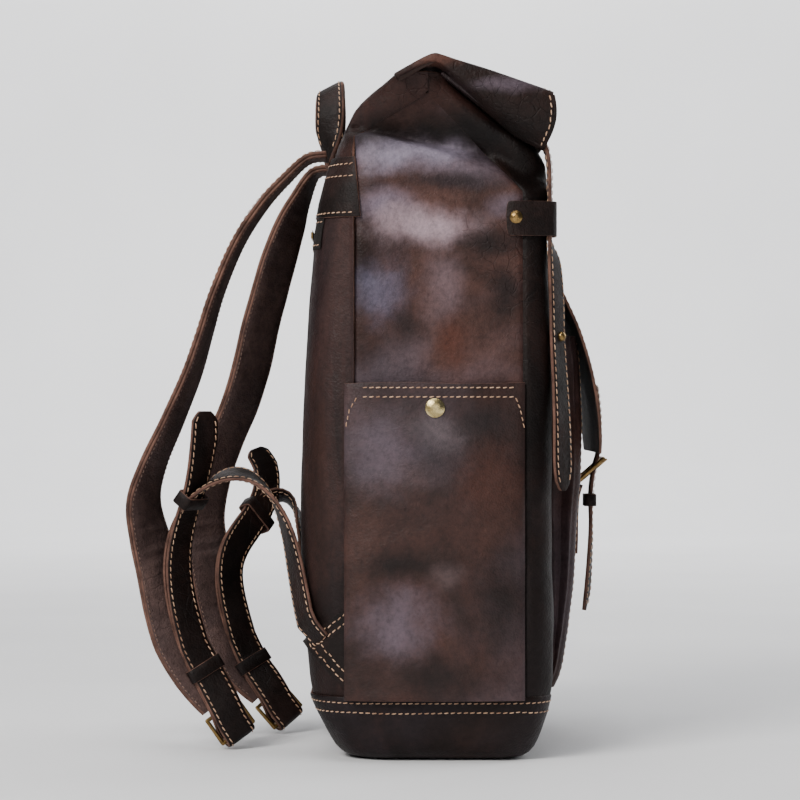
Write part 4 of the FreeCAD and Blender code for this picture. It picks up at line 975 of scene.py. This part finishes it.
# ---- front pocket ---------------------------------------------------------------------------
# Height and face of the front pocket, and of its flap from the hinge down, in millimetres
FRONT_POCKET = ((48, -86.5), (56, -90.5), (68, -93.5), (90, -97), (120, -100), (160, -103), (200, -105.5),
                (240, -106.5), (285, -104.5), (301, -102.5))
LID_HALF = 0.098
LID = ((350, -84.5), (345, -88), (335, -92), (325, -96.2), (311, -103), (296, -108.5),
       (282, -112.5), (266, -116.2), (251, -118.8), (232, -120.2), (216, -120.6))


def front_pocket():
    """The box of the front pocket, drawn in at its sides, with a row of stitches along each edge."""
    low, high, half, r = 0.048, 0.301, 0.092, 0.007
    rows = []
    for z in heights(low, high, 0.006):
        face, back = table(FRONT_POCKET, z / MM, 1) * MM, body(z, 1) + 0.0005
        pull = 0.0035 * math.sin(math.pi * step(z, low, high))
        path = [(-half, back), (-half - 0.001, back - 0.003), (-half + pull, (back + face) / 2 + 0.002),
                (-half - 0.0006, face + r), (-half - 0.0016, face + r * 0.72)]
        path += [(-half + r - r * math.cos(a), face + r - r * math.sin(a)) for a in
                 (math.radians(d) for d in (25, 45, 65, 90))]
        path = resample(path, even(26))
        path += [(-(half - r) * (1 - u), face - 0.0018 * math.sin(math.pi / 2 * u)) for u in even(16)[1:]]
        row = [Vector((x, y, z)) for x, y in path]
        rows.append(full_row([p - Vector((0, 0.0010 * noise.noise(p * 20), 0)) for p in row]))
    bottom = []
    for k in (3, 2, 1):
        bottom.append([Vector((p.x * (1 - 0.03 * k), p.y + (body(low, 1) - p.y) * k / 3, low - 0.0006 * k))
                       for p in rows[0]])
    obj = panel("front_pocket_skin", bottom + rows, FORWARD, THIN, POCKET_SHEET)
    attach(obj, "bag", ["front_pocket"])
    rows = [pressed(obj, [Vector((x, -0.13, z)) for z in (0.054, 0.15, 0.22, 0.296)], FORWARD, 40)
            for x in (-0.0835, 0.0835)]
    rows += [pressed(obj, [Vector((x, -0.13, z)) for x in (-0.0835, 0.0, 0.0835)], FORWARD, 60)
             for z in (0.0535, 0.2955)]
    stitches("front_pocket_thread", rows, "bag")


def pocket_lid():
    """The front pocket's flap, which bends near its hinge, and its row of stitches."""
    rows = []
    for z, y in LID:
        rows.append([])
        for k in range(49):
            u = -1 + k / 24
            lift = 0.0020 * (1 - u * u) + 0.0008 * noise.noise(Vector((u * 3, y * 0.03, z * 0.03)))
            corner = 0.010 * max(0.0, abs(u) - 0.86) / 0.14 * step(252.0 - z, 0.0, 36.0)
            rows[-1].append(Vector((u * LID_HALF, y * MM - lift * step(350 - z, 0, 40), z * MM + corner)))
    motion = ("bag", "pocket_flap", (0, -0.0860, 0.349), (0, -0.0915, 0.337))
    lid = panel("pocket_lid", rows, Vector((0, -1, 0.2)), WALL, FRONT_SHEET, divide=1)
    attach(lid, motion, ["pocket_flap"])
    side = [(0.0042 - LID_HALF, z) for z in (0.336, 0.30, 0.26, 0.235)]
    side += [(-0.0915, 0.2275), (-0.084, 0.2215)]
    edge = side + [(0.0, 0.2202)] + [(-x, z) for x, z in reversed(side)]
    stitches("lid_thread", [pressed(lid, [Vector((x, -0.14, z)) for x, z in edge], FORWARD, 30)], motion)


def flat_sheet(name, half, steps, levels, out, thick, sheet, node, column=1, round_to=0.0005):
    """A sheet that follows the front or back wall, a little way off it."""
    rows = [[Vector((x * half / steps, body(z, column) - out, z)) for x in range(-steps, steps + 1)]
            for z in levels]
    return attach(panel(name, rows, FORWARD, thick, sheet, round_to=round_to), "bag", [node])


def pocket_band():
    """The strip that holds the flap's upper edge, and the cloth behind the pocket's mouth."""
    band = flat_sheet("lid_band", LID_HALF, 12, (0.341, 0.345, 0.350, 0.357, 0.362), 0.0021, 0.0016,
                      FRONT_SHEET, "flap_band")
    rows = [pressed(band, [Vector((-0.095, -0.10, z)), Vector((0.095, -0.10, z))], FORWARD, 120)
            for z in (0.3595, 0.3535)]
    stitches("band_thread", rows, "bag")
    flat_sheet("pocket_facing_skin", 0.092, 12, (0.300, 0.32, 0.340), 0.0012, 0.0008, CLOTH_SHEET,
               "pocket_facing")


BILLET = (
    ((0, -122.6, 266), (1, 0, 0), 12), ((0, -123.1, 262), (1, 0, 0), 18), ((0, -123.8, 256), (1, 0, 0), 20),
    ((0, -125, 240), (1, 0, 0), 20), ((0, -124.4, 218), (1, 0, 0), 20), ((0, -121.2, 204), (1, 0, 0), 20),
    ((0, -119, 184), (1, 0, 0), 20), ((0, -118.6, 150), (0.99, -0.12, 0), 20),
    ((0, -116.6, 116), (0.98, -0.2, 0), 20), ((0, -115.6, 107), (0.98, -0.2, 0), 17.5),
    ((0, -114.8, 101), (0.98, -0.2, 0), 12), ((0, -114.2, 97), (0.98, -0.2, 0), 5))


def front_fastening():
    frames = along(BILLET)
    motion = ("pocket_flap", "billet", (0, -0.1235, 0.246), (0, -0.1235, 0.226))
    facing, materials = outward(frames)
    attach(strap("billet_leather", frames, -STRAP_SKIN, STRAP_SKIN, materials), motion, ["billet"])
    stitches("billet_thread", strap_rows(frames, 2.4, 1.5 * facing, facing, 0.02, 0.94), motion)
    anchor = along([((0, y, z), (1, 0, 0), 20) for y, z in ((-107.6, 140), (-108, 152), (-108.2, 170),
                                                            (-109, 183), (-111.4, 191.5))])
    attach(strap("anchor_leather", anchor, -1.1, 0.7, outward(anchor)[1]), "bag", ["buckle_anchor"])
    keeper("billet_loop", mm(0, -118, 180), Vector((0, 0, -1)), Vector((1, 0, 0)), 21.0, 6.4, 1.4, 9.0,
           "bag", ["billet_keeper"])


# ---- back: yoke, zip, handle and shoulder straps --------------------------------------------
def back_sheet(name, low, high, half, out, thick, materials, nodes, flare=0.0, rows_at=8):
    """A sheet that lies on the back and, if it is wide enough, round its corners to the seam."""
    rows = []
    for share in even(rows_at):
        z = low + (high - low) * share
        path = list(reversed(cut(outline(z, out), seam(z, "back") - flare * (1 - share), 1)))
        path = [p for p in path if abs(p[0]) <= half] or path
        if -path[-1][0] < half and half < 0.13:
            path.append((-half, path[-1][1]))
        rows.append(spread_row([relax((x, y, z), BACKWARD) for x, y in resample(path, even(40))]))
    return attach(panel(name, rows, BACKWARD, thick, materials), "bag", nodes)


def back_details():
    """The yoke, then the zip's tape, with their stitches."""
    yoke = back_sheet("yoke_leather", 0.384, 0.427, 1.0, 0.0024, 0.0019, STRAP_SHEET, ["yoke"], flare=0.004)
    rows = []
    for z in (0.3872, 0.4222, 0.4135):
        half = [Vector((x, y, z)) for x, y in cut(outline(z, 0.004), seam(z, "back") + 0.001, 1)]
        rows.append(settled(yoke, round_body(full_row(half))))
    stitches("yoke_thread", rows, "bag", **SMALL_STITCH)
    tape = back_sheet("zip_tape_strip", 0.362, 0.384, 0.1285, 0.0014, 0.001, [TAPE, TAPE, TAPE], ["zip_tape"],
                      rows_at=3)
    rows = [pressed(tape, [Vector((-0.1265, 0.10, z)), Vector((0.1265, 0.10, z))], BACKWARD, 140)
            for z in (0.3648, 0.3812)]
    stitches("zip_thread", rows, "bag")


HALF_HANDLE = (
    ((-28, 77.5, 431), (1, 0.25, 0), 18), ((-29, 77, 441), (0.85, 0.55, -0.05), 19),
    ((-31, 77, 454), (0.45, 0.88, -0.2), 22), ((-30, 76.5, 468), (0.12, 0.93, -0.33), 22),
    ((-22, 76.5, 481), (0.03, 0.91, -0.42), 22), ((-10, 76.5, 487.5), (0, 0.89, -0.46), 22))
HANDLE = HALF_HANDLE + tuple(((-x, y, z), (-a, b, c), w) for (x, y, z), (a, b, c), w in reversed(HALF_HANDLE))
STRAP = {
    LEFT: (
        ((-62, 78, 433), (1, 0, 0), 42), ((-62, 92, 430.5), (1, 0, 0), 42),
        ((-62, 108, 416), (1, -0.03, 0), 42), ((-62, 126, 396), (1, -0.06, 0), 42),
        ((-62, 143, 369), (1, -0.08, 0), 42), ((-62, 157, 336), (1, -0.1, 0), 42),
        ((-62, 167, 304), (0.99, -0.14, 0), 42), ((-62, 176, 275), (0.97, -0.2, 0), 42),
        ((-62, 190, 241), (0.95, -0.27, 0), 42), ((-62, 205, 206), (0.92, -0.36, 0.05), 42),
        ((-62, 211.5, 180), (0.87, -0.46, 0.05), 42), ((-62, 207, 154), (0.8, -0.58, 0.05), 42),
        ((-62, 200, 129), (0.72, -0.68, 0.1), 42), ((-62, 193.5, 104), (0.62, -0.77, 0.15), 42),
        ((-62, 185.5, 79), (0.52, -0.82, 0.25), 41), ((-62, 173, 55), (0.42, -0.8, 0.4), 36),
        ((-62, 157.5, 33), (0.34, -0.72, 0.55), 28)),
    RIGHT: (
        ((60, 78, 433), (1, 0, 0), 42), ((60, 91, 429), (1, -0.1, 0), 42),
        ((60, 101.5, 409), (0.95, -0.3, 0.05), 42), ((59, 109.5, 388), (0.86, -0.5, 0.1), 42),
        ((58, 117.5, 364), (0.8, -0.58, 0.1), 42), ((57, 125, 338), (0.78, -0.6, 0.1), 42),
        ((56, 132.5, 310), (0.77, -0.61, 0.1), 42), ((55, 138.5, 281), (0.76, -0.62, 0.1), 42),
        ((54, 147.5, 252), (0.75, -0.63, 0.12), 42), ((53, 160, 222), (0.74, -0.64, 0.14), 42),
        ((51, 171, 191), (0.72, -0.67, 0.1), 42), ((49, 175.5, 163), (0.7, -0.7, 0.05), 42),
        ((47, 171.5, 134), (0.67, -0.72, 0.08), 42), ((45, 165, 105), (0.63, -0.75, 0.15), 42),
        ((43, 156.5, 77), (0.57, -0.78, 0.25), 41), ((41, 143.5, 50), (0.5, -0.77, 0.4), 36),
        ((39, 127.5, 32), (0.44, -0.7, 0.55), 28)),
}
ADJUSTER_OUT = {
    LEFT: (
        ((-136.5, 79.8, 85), (0.585, 0.81, 0.2), 18), ((-132, 90, 98), (0.72, 0.62, 0.3), 24),
        ((-124, 96, 112), (0.8, 0.45, 0.2), 24),
        ((-117, 98.5, 142), (0.85, 0.5, 0.2), 24), ((-109, 106.5, 174), (0.86, 0.45, 0.3), 24),
        ((-100, 122, 197.5), (0.85, 0.3, 0.42), 24), ((-94, 141, 207.5), (0.82, 0.1, 0.55), 24),
        ((-89, 160, 200), (0.78, -0.3, 0.5), 24), ((-84, 176.5, 184), (0.7, -0.6, 0.3), 24),
        ((-76, 187.5, 160), (0.66, -0.72, 0.1), 24)),
    RIGHT: (
        ((136.5, 79.8, 85), (0.585, -0.81, -0.2), 18), ((132, 90, 98), (0.72, -0.62, -0.3), 24),
        ((124, 96, 112), (0.8, -0.45, -0.2), 24),
        ((118, 98.5, 142), (0.85, -0.4, -0.1), 24), ((110, 104, 169), (0.9, -0.3, -0.1), 24),
        ((100, 115, 181.5), (0.85, -0.3, -0.3), 24), ((88, 128, 177.5), (0.78, -0.5, -0.2), 24),
        ((72, 137, 165), (0.72, -0.66, 0), 24), ((54, 148, 149), (0.66, -0.72, 0.1), 24)),
}
ADJUSTER_TAIL = {
    LEFT: (
        ((-91, 167.5, 206), (0.66, -0.7, 0.2), 24), ((-93, 165.5, 227), (0.62, -0.76, 0.1), 24),
        ((-94, 165, 240), (0.6, -0.8, 0), 22), ((-94, 165, 247), (0.6, -0.8, 0), 10)),
    RIGHT: (
        ((88, 124, 186), (0.66, -0.7, 0.15), 24), ((93, 130, 203), (0.62, -0.74, 0.2), 24),
        ((95.4, 136, 213), (0.6, -0.74, 0.3), 21), ((96, 138, 217), (0.6, -0.74, 0.3), 10)),
}
# How far the adjuster's two layers lie off the shoulder strap, to its side and from each other, in mm
NEAR_STRAND, FAR_STRAND, STRAND_SHIFT, STRAND_GAP = 5.8, 9.2, 5.0, 3.4
ADJUSTER_WIDTH = 24.0
BESIDE = range(12, 16)      # the shoulder strap's stations that the adjuster lies along
EASE = (4.0, 1.0, 0.0, 0.0)
BUCKLE_LENGTH, BUCKLE_AHEAD, ROLL_RADIUS = 20.0, 5.5, 4.2


def plain_rows(stations):
    """Stations as frames, in millimetres."""
    return [(p / MM, t, a, w / MM) for p, t, a, w in along(stations, 1)]


def adjuster(side):
    """The adjuster's whole way: out of the corner, down the strap, round the buckle's roller and back up."""
    shoulder, out_rows = plain_rows(STRAP[side]), plain_rows(ADJUSTER_OUT[side])

    def strand(index, lift):
        point, tangent, across, _ = shoulder[index]
        place = point + tangent.cross(across) * lift + across * STRAND_SHIFT
        return tuple(place), tuple(across), ADJUSTER_WIDTH

    down = [strand(i, NEAR_STRAND + ease) for i, ease in zip(BESIDE, EASE)]
    up = [strand(i, FAR_STRAND + ease) for i, ease in zip(BESIDE, EASE)][::-1]
    point, tangent, across, _ = shoulder[-1]
    normal = tangent.cross(across)
    turn_at = BUCKLE_AHEAD + BUCKLE_LENGTH
    # along the strap, off its face, and share of the strand's shift
    local = [(-8.0, NEAR_STRAND + 0.2, 0.6), (2.5, NEAR_STRAND - 0.6, 0.3)]
    local += [(10.0, 1.6, 0.1), (17.0, -2.8, 0.0)]
    local += [(turn_at + ROLL_RADIUS * math.sin(a), -ROLL_RADIUS * math.cos(a), 0.0)
              for a in (math.radians(d) for d in (0, 45, 90, 135, 180))]
    local += [(15.0, 6.8, 0.0), (6.0, FAR_STRAND + 0.4, 0.2), (-7.0, FAR_STRAND + 0.6, 0.6)]
    turn = []
    for t, n, share in local:
        place = point + tangent * t + normal * n + across * STRAND_SHIFT * share
        turn.append((tuple(place), tuple(across), ADJUSTER_WIDTH))
    passing = [(tuple(r[0] + r[1].cross(r[2]) * STRAND_GAP), tuple(r[2]), ADJUSTER_WIDTH)
               for r in out_rows[:-3:-1]]
    return list(ADJUSTER_OUT[side]) + down + turn + up + passing + list(ADJUSTER_TAIL[side])


def eased(frames, first, last, rounds=22):
    """The same way along a strap with its sharp turns eased between two places."""
    frames = [list(f) for f in frames]
    for _ in range(rounds):
        old = [list(f) for f in frames]
        for i in range(first, last):
            for k in (0, 2):
                frames[i][k] = old[i][k] * 0.5 + (old[i - 1][k] + old[i + 1][k]) * 0.25
    for i in range(first, last):
        frames[i][1] = (frames[i + 1][0] - frames[i - 1][0]).normalized()
        frames[i][2] = (frames[i][2] - frames[i][1] * frames[i][2].dot(frames[i][1])).normalized()
    return frames


def haul_handle():
    frames = along(HANDLE)
    obj = strap("haul_handle_leather", frames, -2.0, 2.0, BOTH_FACES, crown=0.5, edge=1.2)
    attach(obj, "haul_handle", ["haul_handle"])
    rows = strap_rows(frames, 3.0, -2.4, -1, 0.1, 0.9) + strap_rows(frames, 3.0, 2.4, 1, 0.1, 0.9)
    stitches("handle_thread", rows, "haul_handle")


def shoulder_strap(side, word):
    """A shoulder strap: leather outside and a softer lining, which wrinkles, inside."""
    motion = "strap_" + word
    frames = along(STRAP[side])
    outer = strap("shoulder_leather_" + word, frames, -2.6, 0.0, STRAP_PAIR, crown=0.6)
    attach(outer, motion, ["shoulder_strap_" + word])
    narrow = [(p, t, a, w - 1.2 * MM) for p, t, a, w in along(STRAP[side], 14)]
    inner = strap("shoulder_lining_" + word, narrow, 0.05, 2.2, [STRAP_LINING, EDGE, STRAP_LINING], crown=1.1,
                  wrinkle=1.1)
    attach(inner, motion, ["strap_lining_" + word])
    stitches("shoulder_thread_" + word, strap_rows(frames, 3.2, -2.9, -1, 0.02, 0.98), motion)
    stitches("lining_thread_" + word, strap_rows(frames, 2.6, 2.35, 1, 0.02, 0.98), motion, **LINING_STITCH)


def adjuster_strap(side, word):
    """An adjuster, eased where it leaves the shoulder strap, with its sliding keeper and its fixed one."""
    steps, out = 4, len(ADJUSTER_OUT[side])
    route = eased(along(adjuster(side), steps), 6, steps * out + 14)
    route = eased(route, steps * (out + 17), steps * (out + 23))
    motion = ("bag", "strap_" + word, mm(side * 121, 97, 130), mm(side * 90, 137, 130))
    flat = strap("adjuster_leather_" + word, route, -STRAP_SKIN, STRAP_SKIN, BOTH_FACES, wave=0.15)
    attach(flat, motion, ["adjuster_strap_" + word])
    rows = strap_rows(route, 2.8, -1.55, -1, 0.0, 0.985) + strap_rows(route, 2.8, 1.55, 1, 0.0, 0.985)
    stitches("adjuster_thread_" + word, rows, motion)
    point, tangent, across, _ = plain_rows(ADJUSTER_OUT[side])[-2]
    middle = (point + tangent.cross(across) * (STRAND_GAP / 2)) * MM
    keeper("keeper_loop_" + word, middle, tangent, -across, 26.4, STRAND_GAP + 6.6, 1.4, 10.0,
           "sliding_keeper_" + word, ["sliding_keeper_" + word])
    point, tangent, across, _ = plain_rows(STRAP[side])[BESIDE[-1]]
    middle = (point + tangent.cross(across) * ((NEAR_STRAND + FAR_STRAND) / 2) + across * STRAND_SHIFT) * MM
    keeper("lower_loop_" + word, middle, tangent, -across, 25.4, FAR_STRAND - NEAR_STRAND + 3.6, 1.2, 10.0,
           "strap_" + word, ["fixed_keeper_" + word])


def corner_patch(side, word):
    """Leather sewn over the adjuster's end, round the back corner."""
    low, point, high, reach = 0.0465, 0.084, 0.112, 0.0375
    rows = []
    for share in even(16):
        z = low + 0.0655 * share
        room = max(0.0, 1 - abs(z - point) / (high - point if z > point else point - low))
        path = [p for p in outline(z, 0.0023) if p[0] < -0.09]
        y1 = SEAM_BACK + max(0.0012, reach * room ** 0.9)
        path = cut(path, SEAM_BACK + 0.0002, min(y1, path[-1][1] - 1e-4))
        rows.append([Vector((side * -x, y, z)) for x, y in resample(path, even(16))])
    obj = panel("patch_" + word, rows, lambda p: Vector((p.x, 0.06, 0)), 0.0019, STRAP_SHEET)
    attach(obj, "bag", ["corner_patch_" + word])
    rows = []
    away = Vector((side, 0.6, 0))
    for inset in (0.0025, 0.0075):
        corners = [(SEAM_BACK + 0.001, high - inset * 1.3), (SEAM_BACK + reach - inset * 1.6, point),
                   (SEAM_BACK + 0.001, low + inset * 1.5)]
        places = []
        for (y0, z0), (y1, z1) in zip(corners, corners[1:]):
            for k in range(40):
                y, z = y0 + (y1 - y0) * k / 40, z0 + (z1 - z0) * k / 40
                near = min((p for p in outline(z, 0.003) if p[0] < -0.09), key=lambda p: abs(p[1] - y))
                places.append((Vector((side * -near[0], y, z)), away))
        rows.append(settled(obj, places))
    stitches("patch_thread_" + word, rows, "bag", **POCKET_STITCH)


# ---- inside ---------------------------------------------------------------------------------
def lining():
    """A cloth bag just inside the walls, drawn in with them where the top folds."""
    rows = []
    for z in heights(0.007, 0.452, 0.008):
        half = resample([(x, min(y, body(z, 2) - 0.0092)) for x, y in outline(z, -0.0036)], even(48))
        rows.append(closed_row([Vector((x + (hollow(y, z + 0.004) + 0.0005) * step(-x, 0.10, 0.125), y, z))
                                for x, y in half]))
    for share in (0.7, 0.4, 0.1):
        rows.insert(0, [Vector((p.x * share, p.y * share, 0.0068)) for p in rows[0]])
    obj = panel("lining_cloth_bag", rows, lambda p: Vector((p.x, p.y, 0)), 0.0008, CLOTH_SHEET, closed=True,
                round_to=0)
    attach(obj, "bag", ["lining"])


def sleeve():
    """The computer sleeve, a flat pocket on the back wall."""
    rows = []
    side = [(-0.109, 0.077), (-0.109, 0.060), (-0.106, 0.0572)]
    for z in heights(0.050, 0.330, 0.01):
        crown = 0.003 * math.sin(math.pi * step(z, 0.05, 0.33))
        path = side + [(x * 0.0106, 0.0568 - crown * (1 - (x / 10) ** 2)) for x in range(-9, 10)]
        path += [(-x, y) for x, y in reversed(side)]
        rows.append([Vector((x, y, z)) for x, y in path])
    attach(panel("sleeve_cloth", rows, FORWARD, 0.0018, [LINING, TAPE, LINING]), "bag", ["laptop_sleeve"])


def back_foam():
    """The pouch behind the zip, and the quilted padding of the back."""
    flat_sheet("pouch_cloth", 0.104, 10, heights(0.184, 0.380, 0.01), 0.0068, 0.0006, CLOTH_SHEET,
               "zip_pouch", column=2, round_to=0)
    low, high = 0.0605, 0.3655
    rows = []
    for z in heights(low, high, 0.01):
        quilt = 0.0011 * min(1.0, (z - low) / 0.02, (high - z) / 0.02) * (0.75 + 0.25 * math.cos(z * 220))
        rows.append([Vector((x * 0.0103, body(z, 2) - 0.0046 - quilt * min(1.0, (10 - abs(x)) / 2), z))
                     for x in range(-10, 11)])
    foam = panel("back_foam", rows, FORWARD, 0.0016, CLOTH_SHEET)
    attach(foam, "bag", ["back_pad"])


# ---- scene ----------------------------------------------------------------------------------
def metals():
    """Materials of the CAD model's own parts that stay in view."""
    for part in ("strap_buckle_", "strap_prong_", "strap_roller_"):
        for _, word in SIDES:
            dress(part + word, BRASS)
    for name in ("front_buckle", "front_prong", "tab_rivets", "closure_studs", "zip_slider", "zip_puller",
                 "zip_chain"):
        dress(name, BRASS)
    for name in ("snap_cap_left", "snap_cap_right", "snap_studs"):
        dress(name, BRIGHT_BRASS)
    dress("base_board", BOARD)


def floor():
    """A pale floor that curves up into a backdrop."""
    near, bend, radius, top, half = -4.5, 3.0, 1.0, 4.5, 4.5
    profile = [(near, 0.0), (-1.0, 0.0), (bend, 0.0)]
    profile += [(bend + radius * math.sin(a), radius * (1 - math.cos(a)))
                for a in (math.radians(d) for d in range(10, 91, 10))]
    profile += [(bend + radius, top)]
    points = [(x, y, z) for x, z in profile for y in (-half, half)]
    faces = [(2 * i, 2 * i + 2, 2 * i + 3, 2 * i + 1) for i in range(len(profile) - 1)]
    s = Shader("pale_paper", Specular_IOR_Level=0.2)
    s.put(s.bsdf.inputs["Base Color"], s.ramp(s.noise(3.0, 3.0), ((0.3, (0.80, 0.80, 0.81, 1)),
                                                                 (0.7, (0.84, 0.84, 0.85, 1)))))
    s.put(s.bsdf.inputs["Roughness"], s.remap(s.noise(60.0, 3.0), 0.3, 0.7, 0.7, 0.85))
    piece("paper_floor", points, faces, [s.material])


def light(name, at, towards, size, power, colour):
    lamp = bpy.data.lights.new(name, "AREA")
    lamp.shape, lamp.energy, lamp.color = "RECTANGLE", power, colour
    lamp.size, lamp.size_y = size
    obj = bpy.data.objects.new(name, lamp)
    obj.location = at
    obj.rotation_euler = (Vector(towards) - Vector(at)).to_track_quat("-Z", "Y").to_euler()
    bpy.context.scene.collection.objects.link(obj)


LIGHTS = (
    # name, place, what it lights, size, power, colour
    ("key", (-1.9, 1.3, 1.75), (0, 0, 0.38), (1.2, 1.2), 82, (1.0, 0.98, 0.95)),
    ("fill", (-2.6, -0.3, 0.7), (0, 0, 0.25), (1.8, 1.2), 8, (1.0, 0.96, 0.94)),
    ("top", (-0.2, 0.2, 2.0), (0, 0, 0.3), (1.4, 1.0), 20, (1.0, 1.0, 1.0)),
    ("rim", (0.9, -1.9, 1.2), (0, 0, 0.3), (1.0, 1.6), 22, (1.0, 1.0, 1.0)),
    ("backdrop", (2.6, 0.0, 2.6), (3.9, 0.0, 0.7), (3.4, 0.8), 130, (1.0, 1.0, 1.0)))
SKY, SKY_STRENGTH = (0.80, 0.85, 0.95, 1), 0.11
CAMERA_AT, LENS = (-2.150, 0.0245, 0.255), 128.6


def studio():
    """Soft light, and a camera level with the bag that looks at its left side."""
    world = bpy.data.worlds.new("studio")
    world.use_nodes = True
    sky = world.node_tree.nodes["Background"]
    sky.inputs[0].default_value = SKY
    sky.inputs[1].default_value = SKY_STRENGTH
    bpy.context.scene.world = world
    for lamp in LIGHTS:
        light(*lamp)
    camera = bpy.data.cameras.new("camera")
    camera.lens = LENS
    camera.sensor_width = 36.0
    camera.clip_start = 0.05
    obj = bpy.data.objects.new("camera", camera)
    obj.location = CAMERA_AT
    obj.rotation_euler = (math.radians(90), 0, math.radians(-90))
    bpy.context.scene.collection.objects.link(obj)
    bpy.context.scene.camera = obj


studio()
floor()
body_skin()
base_skin()
roll_top()
closures()
side_pockets()
front_pocket()
pocket_lid()
pocket_band()
front_fastening()
back_details()
haul_handle()
for side, word in SIDES:
    shoulder_strap(side, word)
    adjuster_strap(side, word)
    corner_patch(side, word)
lining()
sleeve()
back_foam()
metals()
